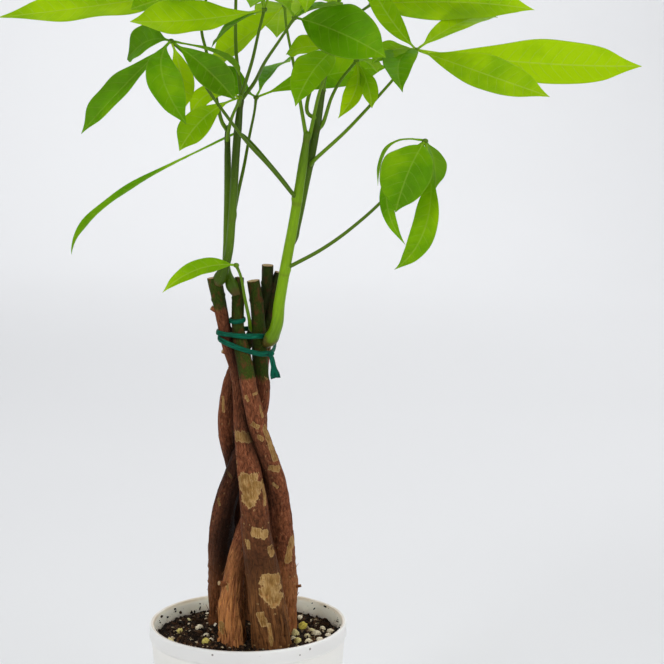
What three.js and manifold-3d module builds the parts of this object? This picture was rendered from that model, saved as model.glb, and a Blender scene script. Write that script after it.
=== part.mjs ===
// A potted money tree: five young plants with braided trunks, tied together above the braid,
// standing in a white pot of dark gravelly soil. Millimetres, +Z up, with the origin at the
// centre of the pot's underside. Seen from the front (along +Y), +X is to the right.

import * as THREE from 'three';
import { mergeVertices } from 'three/addons/utils/BufferGeometryUtils.js';
import Module from 'manifold-3d';

const wasm = await Module();
wasm.setup();

// ---------------------------------------------------------------- driving dimensions

const GAP = 0.3; // clearance between neighbouring pieces

const POT = {
  height: 118,
  rimRadius: 65,
  rimHeight: 9,
  rimLip: 1.3, // how far the rim stands out from the wall
  footRadius: 55.5,
  wall: 2.2,
  floor: 4,
  edge: 1.1, // rounding of the rim and of the foot
  sides: 40,
};

const SOIL = {
  level: 107,
  lumpHeight: 1.3,
  rings: 6,
  sides: 24,
  grains: 40,
  grainRadius: [1.8, 4],
  seed: 20,
};

const TRUNK = { sides: 10, stepLength: 15, ridge: 0.045 };
const SHOOT = { sides: 8, stepLength: 18 };
const PETIOLE = { sides: 5, stepLength: 14, baseRadius: 1.7, tipRadius: 1.1 };
const TWINE = { radius: 1.4, sides: 6, stepLength: 6 };
const HUB_RADIUS = 1.9;

const BLADE = {
  thickness: 0.8,
  rows: 7,
  stalk: 0.07, // share of the length that is bare stalk
  stalkRadius: 0.75,
  widest: 0.6, // where along the blade it is widest
  fold: 12, // degrees that each half rises from the midrib
  wave: 0.035, // rise and fall of the margin, as a share of the width
};

const COLOURS = {
  pot: { color: 0xf2f1ec, roughness: 0.35 },
  soil: { color: 0x3a2b20, roughness: 0.95 },
  bark: { color: 0x8a5a3c, roughness: 0.85 },
  shoot: { color: 0x5d8a1c, roughness: 0.5 },
  twine: { color: 0x0a6b4d, roughness: 0.45 },
  leaf: { color: 0x6fa80c, roughness: 0.45 },
};

// ---------------------------------------------------------------- routes of the stems

// Each trunk and shoot is a list of [x, y, z, radius], from its cut or lower end onwards.
const TRUNKS = {
  // the thick one that ends in front at the soil
  trunk_1: [
    [-20, -3, 347, 4.9], [-18, -3, 336, 4.7], [-15, -5, 322, 4.3], [-11, -6, 303, 4.2], [-7, -6, 290, 4.1],
    [-5, -3, 277, 4.2], [-4, -5, 264, 4.5], [-3, -9, 254, 5.2], [-1, -13, 241, 6.3], [2, -16, 222, 7.5],
    [5, -18, 203, 8.6], [7, -20, 180, 9.9], [10, -22, 158, 11.1], [13, -23, 136, 12.2], [16, -22, 108, 13],
    [16, -20, 72, 11],
  ],
  // crosses in front at the tie and ends at the back right
  trunk_2: [
    [-4, -2, 347, 3], [-5, -4, 331, 4.2], [-5, -7, 316, 4], [-3, -9, 304, 4.5], [0, -12, 291, 4.8],
    [2, -14, 279, 5.3], [5, -15, 265, 5.7], [8, -14, 249, 6.1], [13, -11, 232, 6.6], [18, -6, 215, 6.8],
    [21, -1, 196, 7], [23, 2, 176, 7.2], [24, 5, 154, 7.5], [24, 7, 128, 8], [23, 8, 105, 8.3],
    [21, 8, 74, 7],
  ],
  // runs straight down behind the tie, then sweeps out to the left
  trunk_3: [
    [5, -4, 345, 4.1], [7, -3, 330, 4.3], [8, -2, 315, 4.5], [9, -1, 298, 4.7], [10, 0, 285, 4.5],
    [11, 0, 272, 4.5], [9, 1, 260, 4.9], [4, 3, 246, 5.2], [-4, 4, 230, 6], [-10, 6, 212, 6.8],
    [-15, 8, 194, 7.4], [-18, 12, 176, 8], [-19, 16, 156, 8.4], [-19, 21, 134, 8.5], [-19, 25, 108, 8.2],
    [-18, 24, 74, 7],
  ],
  // slants left behind the tie, shows left of the braid and ends at the back
  trunk_4: [
    [14, 4, 354, 3.8], [13, 6, 338, 3.9], [9, 9, 323, 3.9], [4, 11, 309, 3.9], [-2, 12, 298, 3.9],
    [-8, 9, 286, 3.9], [-12, 6, 272, 4.5], [-14, 5, 257, 4.7], [-14, 9, 241, 4.8], [-11, 15, 224, 4.8],
    [-7, 20, 207, 5.4], [-7, 23.5, 190, 6], [-3, 28, 168, 6.7], [1, 32, 142, 7.4], [5, 33, 108, 8],
    [4, 30, 74, 7],
  ],
  // behind at the tie, then passes under the others to the front left
  trunk_5: [
    [21, 7, 349, 2.7], [17, 8, 336, 3.8], [15, 10, 321, 3.9], [12, 13, 304, 3.9], [10, 15, 287, 4],
    [8, 15, 270, 4.2], [8, 14, 253, 4.5], [8, 12, 237, 4.8], [7, 10, 222, 5.2], [5, 7, 207, 5.6],
    [3, 4, 191, 6], [-2, -1, 175, 6.5], [-7, -7, 158, 6.8], [-11, -13, 138, 6.8], [-14, -17, 108, 6.6],
    [-14, -16, 74, 6],
  ],
};

const SHOOTS = {
  shoot_1: [
    [-17, -4, 342, 2.6], [-12, -8, 351, 2.6], [-10, -9, 364, 2.5], [-8, -9, 385, 2.5], [-5, -7, 429, 2.5],
    [-2, -5, 462, 2.5],
  ],
  shoot_2: [
    [-5, -5, 333, 2.7], [-10, -3, 341, 2.6], [-12, 0, 351, 2.3], [-12, 1, 371, 2.2], [-11, 1, 410, 2.2],
    [-11, 1, 444, 2],
  ],
  shoot_3: [
    [9, -2, 300, 3], [15, -10, 305, 3.7], [20, -15, 317, 3.8], [22, -16, 332, 3.6], [25, -15, 350, 3.4],
    [31, -13, 382, 3.2], [36, -11, 413, 3], [40, -9, 441, 2.6],
  ],
  shoot_4: [
    [29, -10, 368, 2.2], [33, -4, 381, 2.6], [38, -2, 405, 2.7], [43, -2, 429, 2.8], [50, 0, 468, 2.4],
  ],
};

// Small stubs left on the bark where side twigs were cut, each as [trunk, from, to, radius].
const STUBS = [
  ['trunk_2', [22, 5, 138], [35, 3, 141], 1],
  ['trunk_5', [-10, -12, 146], [-18, -18, 149], 1.6],
  ['trunk_1', [-16, -5, 324], [-22, -6, 328], 1.5],
  ['trunk_1', [-9, -5, 297], [-15, -8, 300], 1.3],
];

// The twine: two turns round the bundle, a knot at the right and a short tail, as [x, y, z].
const TWINE_ROUTE = [
  [16.4, -6.4, 298.4], [20, 1, 299.6], [21.8, 8, 301.6], [21.4, 15, 304], [16.4, 20.4, 307], [10, 19.6, 309],
  [4.6, 17.4, 310.4], [-2, 13.8, 311.2], [-8, 7.6, 311.8], [-14.8, 1.6, 312.1], [-18.8, -4.2, 312.1],
  [-17.2, -9.6, 311.9], [-10, -13.6, 311.4], [-3, -15, 310.9], [3, -13.2, 310.4], [9.4, -9.2, 309.9],
  [15.6, -2.8, 308.8], [17.9, 6, 306.6], [17.9, 13.4, 304.6], [14.8, 18.3, 303.2], [7, 19.2, 303],
  [-1, 17.6, 303.8], [-7, 11.8, 305.4], [-12, 4.7, 307.2], [-17.6, -2.8, 308.7], [-16.8, -9.6, 307.8],
  [-8.6, -14.2, 304.6], [2, -15.4, 301.2], [10, -11, 298.6], [16, -7.6, 297.8], [17.5, -8, 292],
  [18.5, -8, 286],
];
const KNOT = { centre: [16, -7.4, 298], radius: 2.6 };
const TAIL_END = { centre: [19, -8, 283], topRadius: 1.4, endRadius: 4, flatness: 0.35, length: 8, sides: 6 };

// A single loose turn round the second trunk, above the tie.
const UPPER_TURN = { centre: [-5, -6.4], height: 320, radius: 5.8, steps: 16 };

// ---------------------------------------------------------------- leaves

// A leaflet leaves its hub with a heading (degrees anticlockwise from +X, seen from above) and a
// rise (degrees above the horizontal). arch and sway bend its midrib up and sideways, as shares
// of its length; bend is where along it that happens; roll and twist turn the blade about it;
// widest is the place of its greatest width, as a share of its length.
function leaflet(heading, rise, length, width, shape = {}) {
  const plain = { arch: 0, sway: 0, bend: 0.5, roll: 0, twist: 0, widest: BLADE.widest };
  return { heading, rise, length, width, ...plain, ...shape };
}

// Each leaf is a stalk from its shoot to the hub, and the leaflets that spread from the hub.
const LEAVES = {
  leaf_1: {
    petiole: [
      [33, -13, 398], [28, -17, 405], [17, -24, 419], [3, -32, 435],
      [-9, -44, 452], [-21, -52, 470], [-31, -56, 487], [-41, -58, 497],
    ],
    leaflets: [
      leaflet(201, -44, 78, 24, { arch: 0.03, sway: -0.05, roll: -25 }),
      leaflet(130, -14, 49, 26, { arch: 0.12, roll: -65 }),
      leaflet(288, -53, 60, 22, { arch: 0.16, sway: 0.2, roll: 6 }),
      leaflet(314, -75, 42, 15, { arch: 0.08, roll: 30 }),
      leaflet(327, -36, 58, 21, { arch: 0.03, sway: -0.02, roll: 48 }),
      leaflet(35, -24, 53, 12, { arch: 0.12, bend: 0.75 }),
    ],
  },
  leaf_2: {
    petiole: [
      [32, -10, 399], [26, -4, 407], [15, 4, 420], [3, 12, 433],
      [-2, 16, 437], [-6, 20, 438],
    ],
    leaflets: [
      leaflet(175, -36, 136, 13, { arch: 0.09, bend: 0.84, roll: -25 }),
    ],
  },
  leaf_3: {
    petiole: [[8, -3, 314], [4, -13, 322], [1, -16, 334], [-1, -18, 349], [-5, -20, 357]],
    leaflets: [
      leaflet(197, -18, 50, 13, { arch: 0.12, roll: -45, widest: 0.42 }),
    ],
  },
  leaf_4: {
    petiole: [
      [26, -15, 354], [31, -17, 357], [48, -24, 367], [65, -34, 380],
      [87, -46, 401], [102, -52, 421], [112, -52, 437],
    ],
    leaflets: [
      leaflet(225, -58, 49, 34, { arch: 0.12, sway: -0.06, roll: -30, widest: 0.5 }),
      leaflet(174, -77, 81, 17, { arch: -0.16, sway: -0.14, bend: 0.6, roll: -69, twist: -110, widest: 0.5 }),
      leaflet(142, -39, 46, 5, { arch: 0.3 }),
      leaflet(213, -77, 64, 9, { arch: 0.2, sway: 0.18, roll: -40 }),
      leaflet(67, -57, 36, 16, { arch: 0.2, roll: 20 }),
    ],
  },
  leaf_5: {
    petiole: [[43, -6, 421], [64, 0, 440], [85, 6, 462], [99, 9, 478], [109, 10, 491]],
    leaflets: [
      leaflet(352, -4, 142, 31, { arch: -0.02, roll: 68 }),
      leaflet(320, -15, 105, 25, { roll: 55, widest: 0.55 }),
      leaflet(39, 16, 74, 19, { arch: 0.08, bend: 0.72, roll: 30, widest: 0.45 }),
      leaflet(148, 52, 61, 15, { arch: -0.05, roll: -66, widest: 0.5 }),
      leaflet(259, -24, 61, 22, { arch: 0.1, sway: 0.1, roll: -5, widest: 0.42 }),
      leaflet(226, -11, 42, 18, { arch: 0.1, roll: -30 }),
    ],
  },
  leaf_6: {
    petiole: [[40, -5, 452], [43, 8, 470], [52, 22, 491], [66, 34, 509], [81, 42, 520]],
    leaflets: [
      leaflet(0, -2, 106, 28, { arch: 0.03, bend: 0.6, roll: 55, widest: 0.36 }),
      leaflet(39, 21, 64, 26, { arch: 0.1 }),
      leaflet(323, 6, 77, 24, { arch: 0.14 }),
      leaflet(129, 28, 48, 24, { arch: 0.1 }),
      leaflet(205, 34, 34, 18, { arch: 0.1 }),
    ],
  },
  leaf_7: {
    petiole: [[-3, -7, 458], [1, -13, 470], [6, -20, 485], [10, -26, 501], [14, -32, 516]],
    leaflets: [
      leaflet(201, -5, 85, 30, { arch: -0.03, roll: -45 }),
      leaflet(147, -30, 47, 16, { arch: 0.08, roll: -30 }),
      leaflet(265, 24, 47, 26, { arch: 0.12 }),
      leaflet(124, 37, 41, 24, { arch: 0.12 }),
      leaflet(330, 44, 34, 20, { arch: 0.12 }),
    ],
  },
  leaf_8: {
    petiole: [[-2, -5, 459], [6, -5, 470], [14, -26, 484], [24, -44, 498], [33, -55, 511]],
    leaflets: [
      leaflet(333, -21, 65, 36, { arch: 0.04, roll: 58, widest: 0.5 }),
      leaflet(35, 8, 36, 24, { arch: 0.1 }),
      leaflet(247, 5, 62, 26, { arch: 0.14 }),
      leaflet(24, 32, 43, 24, { arch: 0.1 }),
    ],
  },
  leaf_9: {
    petiole: [[39, -8, 438], [34, 2, 466], [30, 14, 487], [26, 24, 507], [25, 28, 519]],
    leaflets: [
      leaflet(148, -31, 70, 34, { arch: -0.02, roll: -55 }),
      leaflet(96, -17, 71, 34, { arch: 0.12 }),
      leaflet(50, -1, 55, 26, { arch: 0.1 }),
      leaflet(155, 22, 44, 24, { arch: 0.1 }),
      leaflet(345, 28, 34, 22, { arch: 0.1 }),
    ],
  },
  leaf_10: {
    petiole: [
      [-14, -4, 446], [-19, 0, 467], [-24, 4, 490], [-27, 6, 503],
      [-26, 6, 517], [-20, 6, 530],
    ],
    leaflets: [
      leaflet(189, -8, 135, 32, { arch: -0.01, roll: -45, widest: 0.46 }),
      leaflet(218, -13, 62, 34, { arch: 0.02, roll: -45 }),
      leaflet(150, 4, 92, 34, { arch: 0.08 }),
      leaflet(103, 9, 87, 30, { arch: 0.1 }),
      leaflet(262, 2, 60, 26, { arch: 0.15 }),
    ],
  },
  leaf_11: {
    petiole: [[-7, -7, 388], [-5, 3, 399], [-1, 14, 418], [2, 26, 436], [5, 32, 451], [6, 36, 460]],
    leaflets: [
      leaflet(17, 12, 92, 25, { arch: 0.04, roll: 60 }),
      leaflet(138, 13, 46, 24, { arch: 0.06, roll: -55 }),
      leaflet(72, 18, 71, 22, { arch: 0.08, roll: -20 }),
    ],
  },
  leaf_12: {
    petiole: [[41, -7, 437], [47, -14, 463], [52, -22, 478], [56, -28, 491]],
    leaflets: [
      leaflet(233, -41, 50, 25, { arch: 0.08, roll: -20, widest: 0.4 }),
      leaflet(143, -4, 37, 18, { arch: 0.1, roll: -50 }),
    ],
  },
  leaf_13: {
    petiole: [[49, -2, 444], [55, 4, 461], [61, 10, 472], [71, 16, 484]],
    leaflets: [
      leaflet(238, -58, 40, 11, { sway: -0.15, roll: -10, widest: 0.5 }),
      leaflet(299, -62, 30, 8, { arch: 0.1, roll: 20 }),
      leaflet(46, -21, 21, 14, { arch: 0.16 }),
    ],
  },
  leaf_14: {
    petiole: [[-11, 0, 435], [-8, -8, 448], [-4, -14, 457], [-2, -18, 462]],
    leaflets: [
      leaflet(222, -33, 57, 19, { arch: 0.1, roll: -45, widest: 0.68 }),
      leaflet(195, -18, 33, 14, { arch: 0.25, roll: -50 }),
      leaflet(150, -12, 26, 12, { arch: 0.2 }),
    ],
  },
  leaf_15: {
    petiole: [[50, 0, 469], [55, -2, 491], [59, -4, 516], [61, -6, 537], [62, -8, 550]],
    leaflets: [
      leaflet(338, -4, 58, 30, { arch: 0.12 }),
      leaflet(279, -8, 94, 30, { arch: 0.12 }),
      leaflet(256, -22, 98, 24, { arch: 0.1, bend: 0.7 }),
      leaflet(182, 10, 51, 28, { arch: 0.12 }),
      leaflet(104, 8, 91, 28, { arch: 0.12 }),
      leaflet(57, 9, 70, 28, { arch: 0.12 }),
    ],
  },
  leaf_16: {
    petiole: [[-2, -5, 464], [-5, -1, 491], [-5, 2, 522], [-4, 4, 547], [-2, 6, 565]],
    leaflets: [
      leaflet(196, -11, 59, 32, { arch: 0.12 }),
      leaflet(255, -9, 96, 30, { arch: 0.12 }),
      leaflet(280, -11, 99, 30, { arch: 0.12 }),
      leaflet(354, -3, 57, 30, { arch: 0.12 }),
      leaflet(80, 13, 77, 28, { arch: 0.12 }),
      leaflet(119, 8, 74, 28, { arch: 0.12 }),
    ],
  },
};

// ---------------------------------------------------------------- solids and meshes

// Turns a closed geometry into a solid: merges its vertices and drops collapsed triangles.
function solidOf(geometry) {
  geometry.deleteAttribute('normal');
  geometry.deleteAttribute('uv');
  const merged = mergeVertices(geometry, 1e-4);
  const index = Array.from(merged.index.array);
  const kept = [];
  for (let i = 0; i < index.length; i += 3) {
    const [a, b, c] = index.slice(i, i + 3);
    if (a !== b && b !== c && c !== a) {
      kept.push(a, b, c);
    }
  }
  return new wasm.Manifold(new wasm.Mesh({
    numProp: 3,
    vertProperties: new Float32Array(merged.attributes.position.array),
    triVerts: new Uint32Array(kept),
  }));
}

function geometryOf(solid) {
  const mesh = solid.getMesh();
  const geometry = new THREE.BufferGeometry();
  geometry.setAttribute('position', new THREE.BufferAttribute(mesh.vertProperties, 3));
  geometry.setIndex(new THREE.BufferAttribute(mesh.triVerts, 1));
  geometry.computeVertexNormals();
  return geometry;
}

function joined(solids) {
  return solids.reduce((sum, solid) => sum.add(solid));
}

// The largest piece of a solid once the cutters are taken from it.
function cutBy(solid, cutters) {
  const rest = cutters.reduce((left, cutter) => left.subtract(cutter), solid);
  return rest.decompose().reduce((best, piece) => (piece.volume() > best.volume() ? piece : best));
}

const vector = ([x, y, z]) => new THREE.Vector3(x, y, z);

// Numbers in the range 0 to 1, the same ones each time for the same seed.
function randomFrom(seed) {
  let state = seed;
  return () => {
    state = (state * 16807) % 2147483647;
    return state / 2147483647;
  };
}

// ---------------------------------------------------------------- stems

// A unit cylinder bent along a curve. route holds [x, y, z, radius]; ridge makes the section
// slightly lobed, and swell adds to the radius all round.
function limb(route, { sides, stepLength, ridge = 0 }, swell = 0) {
  const curve = new THREE.CatmullRomCurve3(route.map(vector));
  const steps = Math.max(3, Math.round(curve.getLength() / stepLength));
  const frames = curve.computeFrenetFrames(steps);
  const geometry = new THREE.CylinderGeometry(1, 1, 1, sides, steps);
  const position = geometry.attributes.position;
  const point = new THREE.Vector3();
  for (let i = 0; i < position.count; i++) {
    const row = Math.round((position.getY(i) + 0.5) * steps);
    const place = curve.getUtoTmapping(row / steps) * (route.length - 1);
    const before = Math.min(Math.floor(place), route.length - 2);
    const radius = THREE.MathUtils.lerp(route[before][3], route[before + 1][3], place - before);
    const angle = Math.atan2(position.getZ(i), position.getX(i));
    const reach = radius * (1 + ridge * Math.sin(3 * angle + row)) + swell;
    point.copy(curve.getPointAt(row / steps));
    point.addScaledVector(frames.normals[row], position.getX(i) * reach);
    point.addScaledVector(frames.binormals[row], -position.getZ(i) * reach);
    position.setXYZ(i, point.x, point.y, point.z);
  }
  return solidOf(geometry);
}

// A straight or bent round rod of even or tapering radius through the given points.
function rod(points, startRadius, endRadius, style) {
  const last = points.length - 1;
  const route = points.map((point, i) => [...point, THREE.MathUtils.lerp(startRadius, endRadius, i / last)]);
  return limb(route, style);
}

function trunk(name, swell = 0) {
  const stubs = STUBS.filter((stub) => stub[0] === name);
  const twigs = stubs.map(([, from, to, radius]) => rod([from, to], radius + swell, radius + swell, SHOOT));
  return joined([limb(TRUNKS[name], TRUNK, swell), ...twigs]);
}

// ---------------------------------------------------------------- pot and soil

const wallRadius = POT.rimRadius - POT.rimLip;

// Radius of the pot's inside at a height above the table.
function insideRadius(z) {
  const share = z / (POT.height - POT.rimHeight);
  return THREE.MathUtils.lerp(POT.footRadius, wallRadius, Math.min(share, 1)) - POT.wall;
}

function turned(profile, sides) {
  const geometry = new THREE.LatheGeometry(profile.map(([r, z]) => new THREE.Vector2(r, z)), sides);
  return geometry.rotateX(Math.PI / 2);
}

function pot() {
  const { height, rimRadius, rimHeight, footRadius, floor, edge, sides } = POT;
  const rimFoot = height - rimHeight;
  const mouth = insideRadius(height);
  return solidOf(turned([
    [0, 0], [footRadius - edge, 0], [footRadius, edge], [wallRadius, rimFoot - POT.rimLip],
    [rimRadius, rimFoot], [rimRadius, height - edge], [rimRadius - edge, height],
    [mouth + edge, height], [mouth, height - edge], [mouth, rimFoot], [insideRadius(floor), floor + edge],
    [insideRadius(floor) - edge, floor], [0, floor],
  ], sides));
}

// Height of the soil's surface: lumps made by three crossing waves.
function soilHeight(x, y) {
  const lumps = Math.sin(x * 0.31 + 1) * Math.cos(y * 0.27) + Math.sin(x * 0.13 - y * 0.17)
    + 0.6 * Math.sin(x * 0.47 + y * 0.41);
  return SOIL.level + SOIL.lumpHeight * lumps / 2;
}

function soilBed() {
  const bottom = POT.floor + GAP;
  const profile = [[0, bottom], [insideRadius(bottom + POT.edge) - POT.edge - GAP, bottom]];
  for (const z of [bottom + POT.edge, SOIL.level / 2, SOIL.level]) {
    profile.push([insideRadius(z) - GAP, z]);
  }
  for (let ring = SOIL.rings - 1; ring >= 0; ring--) {
    profile.push([(insideRadius(SOIL.level) - GAP) * ring / SOIL.rings, SOIL.level]);
  }
  const geometry = turned(profile, SOIL.sides);
  const position = geometry.attributes.position;
  for (let i = 0; i < position.count; i++) {
    if (position.getZ(i) > SOIL.level - GAP) {
      position.setZ(i, soilHeight(position.getX(i), position.getY(i)));
    }
  }
  return solidOf(geometry);
}

// Gravel and bark chips: angular lumps scattered over the surface and sunk halfway in.
function grains() {
  const random = randomFrom(SOIL.seed);
  const [smallest, largest] = SOIL.grainRadius;
  return Array.from({ length: SOIL.grains }, () => {
    const radius = THREE.MathUtils.lerp(smallest, largest, random() ** 2);
    const angle = random() * 2 * Math.PI;
    const reach = Math.sqrt(random()) * (insideRadius(SOIL.level) - GAP - 1.2 * radius);
    const x = reach * Math.cos(angle);
    const y = reach * Math.sin(angle);
    const geometry = new THREE.IcosahedronGeometry(radius, 0);
    geometry.rotateX(random() * Math.PI).rotateY(random() * Math.PI).scale(1, 1.1, 0.8);
    return solidOf(geometry.translate(x, y, soilHeight(x, y) + 0.15 * radius));
  });
}

// ---------------------------------------------------------------- tie

function tie() {
  const route = TWINE_ROUTE.map((point) => [...point, TWINE.radius]);
  const knot = solidOf(new THREE.IcosahedronGeometry(KNOT.radius, 1).translate(...KNOT.centre));
  const { centre, topRadius, endRadius, flatness, length, sides } = TAIL_END;
  const flare = new THREE.CylinderGeometry(topRadius, endRadius, length, sides).rotateX(Math.PI / 2);
  flare.scale(1, flatness, 1).translate(...centre);
  return joined([limb(route, TWINE), knot, solidOf(flare)]);
}

function upperTurn() {
  const { centre, height, radius, steps } = UPPER_TURN;
  const ring = new THREE.TorusGeometry(radius, TWINE.radius, TWINE.sides, steps);
  return solidOf(ring.translate(...centre, height));
}

// ---------------------------------------------------------------- leaves

// Half the width of a blade at a share of its length: nothing but stalk at first, then widening
// to its widest place and drawn out to a point.
function halfWidth(width, widest, share) {
  const s = Math.max(0, (share - BLADE.stalk) / (1 - BLADE.stalk));
  const power = widest / (1 - widest);
  const peak = widest ** power * (1 - widest);
  return Math.max((width / 2) * (s ** power) * (1 - s) / peak, BLADE.stalkRadius);
}

// A thin folded blade along an arched midrib, with both faces split into triangles alike.
function blade(hub, { heading, rise, length, width, arch, sway, bend, roll, twist, widest }) {
  const radians = THREE.MathUtils.degToRad;
  const flat = new THREE.Vector3(Math.cos(radians(heading)), Math.sin(radians(heading)), 0);
  const axis = flat.clone().multiplyScalar(Math.cos(radians(rise))).setZ(Math.sin(radians(rise)));
  const up = flat.clone().multiplyScalar(-Math.sin(radians(rise))).setZ(Math.cos(radians(rise)));
  const side = axis.clone().cross(up);
  const bender = hub.clone().addScaledVector(axis, length * bend);
  bender.addScaledVector(up, 2 * length * arch).addScaledVector(side, 2 * length * sway);
  const midrib = new THREE.QuadraticBezierCurve3(hub, bender, hub.clone().addScaledVector(axis, length));
  const positions = [];
  for (let row = 0; row <= BLADE.rows; row++) {
    const share = row / BLADE.rows;
    const centre = midrib.getPoint(share);
    const along = midrib.getTangent(share);
    const face = up.clone().applyAxisAngle(axis, radians(roll + twist * (share - 0.5)));
    face.addScaledVector(along, -face.dot(along)).normalize();
    const across = along.clone().cross(face);
    const half = halfWidth(width, widest, share);
    for (const column of [-1, 0, 1]) {
      const wave = BLADE.wave * half * Math.sin(row * 2.4 + column);
      const lift = Math.abs(column) * (half * Math.sin(radians(BLADE.fold)) + wave);
      const rib = centre.clone().addScaledVector(across, column * half * Math.cos(radians(BLADE.fold)));
      for (const height of [lift + BLADE.thickness / 2, lift - BLADE.thickness / 2]) {
        positions.push(...rib.clone().addScaledVector(face, height).toArray());
      }
    }
  }
  const geometry = new THREE.BufferGeometry();
  geometry.setAttribute('position', new THREE.Float32BufferAttribute(positions, 3));
  geometry.setIndex(bladeTriangles(BLADE.rows));
  return solidOf(geometry);
}

// Triangles of a blade whose rows hold upper and lower points at the left, middle and right.
function bladeTriangles(rows) {
  const [upper, lower] = [0, 1];
  const at = (row, column, face) => row * 6 + column * 2 + face;
  const quad = (a, b, c, d) => [a, b, c, a, c, d];
  const triangles = [];
  for (let row = 0; row < rows; row++) {
    for (const column of [0, 1]) {
      const corners = (face) => [at(row, column, face), at(row, column + 1, face),
        at(row + 1, column + 1, face), at(row + 1, column, face)];
      const [a, b, c, d] = corners(upper);
      const [e, f, g, h] = corners(lower);
      triangles.push(...quad(a, b, c, d), e, g, f, e, h, g);
    }
    triangles.push(...quad(at(row, 0, lower), at(row, 0, upper), at(row + 1, 0, upper),
      at(row + 1, 0, lower)));
    triangles.push(...quad(at(row, 2, upper), at(row, 2, lower), at(row + 1, 2, lower),
      at(row + 1, 2, upper)));
  }
  for (const column of [0, 1]) {
    triangles.push(...quad(at(0, column, lower), at(0, column + 1, lower), at(0, column + 1, upper),
      at(0, column, upper)));
    triangles.push(...quad(at(rows, column, upper), at(rows, column + 1, upper), at(rows, column + 1, lower),
      at(rows, column, lower)));
  }
  return triangles;
}

function leaf({ petiole, leaflets }) {
  const hub = vector(petiole.at(-1));
  const bead = new THREE.IcosahedronGeometry(HUB_RADIUS, 0).translate(hub.x, hub.y, hub.z);
  const blades = leaflets.map((shape) => blade(hub, shape));
  return joined([rod(petiole, PETIOLE.baseRadius, PETIOLE.tipRadius, PETIOLE), solidOf(bead), ...blades]);
}

// ---------------------------------------------------------------- the whole plant

const plant = new THREE.Group();

function addPiece(name, solid, finish) {
  const mesh = new THREE.Mesh(geometryOf(solid), new THREE.MeshStandardMaterial(finish));
  mesh.name = name;
  plant.add(mesh);
}

const trunkNames = Object.keys(TRUNKS);
const grownTrunks = trunkNames.map((name) => trunk(name, GAP));
const grownShoots = Object.values(SHOOTS).map((route) => limb(route, SHOOT, GAP));

addPiece('pot', pot(), COLOURS.pot);
addPiece('soil', cutBy(joined([soilBed(), ...grains()]), grownTrunks), COLOURS.soil);
trunkNames.forEach((name, i) => {
  addPiece(name, cutBy(trunk(name), grownTrunks.slice(0, i)), COLOURS.bark);
});
Object.entries(SHOOTS).forEach(([name, route], i) => {
  const neighbours = [...grownTrunks, ...grownShoots.slice(0, i)];
  addPiece(name, cutBy(limb(route, SHOOT), neighbours), COLOURS.shoot);
});
addPiece('tie', cutBy(tie(), [...grownTrunks, ...grownShoots]), COLOURS.twine);
addPiece('tie_upper_turn', cutBy(upperTurn(), [...grownTrunks, ...grownShoots]), COLOURS.twine);
for (const [name, shape] of Object.entries(LEAVES)) {
  addPiece(name, cutBy(leaf(shape), [...grownTrunks, ...grownShoots]), COLOURS.leaf);
}

export default plant;
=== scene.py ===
"""A potted money tree, dressed for rendering.

Five young plants with braided trunks stand in a white pot of dark gravelly soil and are tied
together above the braid. Every solid of the frame is replaced by a finer surface of the same
form. The numbers are millimetres, with +Z up and the origin under the middle of the pot; seen
from the front, along +Y, +X is to the right.
"""
import math

import bpy
import mathutils
import numpy as np
from bpy.props import FloatProperty, FloatVectorProperty, IntProperty, PointerProperty
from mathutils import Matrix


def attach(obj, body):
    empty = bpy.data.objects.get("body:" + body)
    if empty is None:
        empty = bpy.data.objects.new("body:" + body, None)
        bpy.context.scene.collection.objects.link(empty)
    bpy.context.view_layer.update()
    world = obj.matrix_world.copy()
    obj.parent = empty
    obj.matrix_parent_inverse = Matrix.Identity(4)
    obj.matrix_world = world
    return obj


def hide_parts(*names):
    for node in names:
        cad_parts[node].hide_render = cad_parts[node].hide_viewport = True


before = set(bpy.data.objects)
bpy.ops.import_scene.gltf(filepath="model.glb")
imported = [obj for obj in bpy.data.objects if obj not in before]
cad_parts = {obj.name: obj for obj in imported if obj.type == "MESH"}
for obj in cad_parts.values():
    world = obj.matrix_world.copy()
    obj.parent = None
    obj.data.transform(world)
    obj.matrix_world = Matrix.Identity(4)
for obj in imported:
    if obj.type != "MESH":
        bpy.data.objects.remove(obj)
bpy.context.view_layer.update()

bl_info = {
    "name": "Money Tree",
    "version": (1, 0, 0),
    "blender": (4, 5, 0),
    "location": "View3D > Sidebar > Money Tree",
    "description": "Makes a potted money tree with a braided trunk",
    "category": "Add Mesh",
}

MM = 0.001
BODY = "root"

# ---------------------------------------------------------------- routes and sizes

POT = {
    "height": 118.0, "rim_radius": 65.0, "rim_height": 9.0, "rim_lip": 1.3, "foot_radius": 55.5,
    "wall": 2.2, "floor": 4.0, "edge": 1.1,
}
SOIL_LEVEL = 107.0
SOIL_LUMP = 1.3
SOIL_GAP = 0.3  # clearance between the soil and the pot

STALK_RADIUS = (1.7, 1.1)  # of a leaf stalk, at its shoot and at the hub
HUB_RADIUS = 1.9
TWINE_RADIUS = 1.4
TWINE_FLATNESS = 0.8  # half of the flattened twine's thickness
SHOOT_STEP = 1.2  # between the rings of a shoot
STALK_STEP = 1.8  # between the rings of a leaf stalk
LEAF_RINGS = 27  # between the rings that old leaves left on a trunk


def leaflet(heading, rise, length, width, arch=0.0, sway=0.0, bend=0.5, roll=0.0, twist=0.0, widest=0.6):
    """One leaflet: heading in degrees anticlockwise from +X and rise above the horizontal; arch and
    sway bend its midrib up and sideways as shares of its length, bend is where; roll and twist
    turn the blade about the midrib; widest is where along its length it is widest."""
    return dict(heading=heading, rise=rise, length=length, width=width, arch=arch, sway=sway,
                bend=bend, roll=roll, twist=twist, widest=widest)


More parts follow.
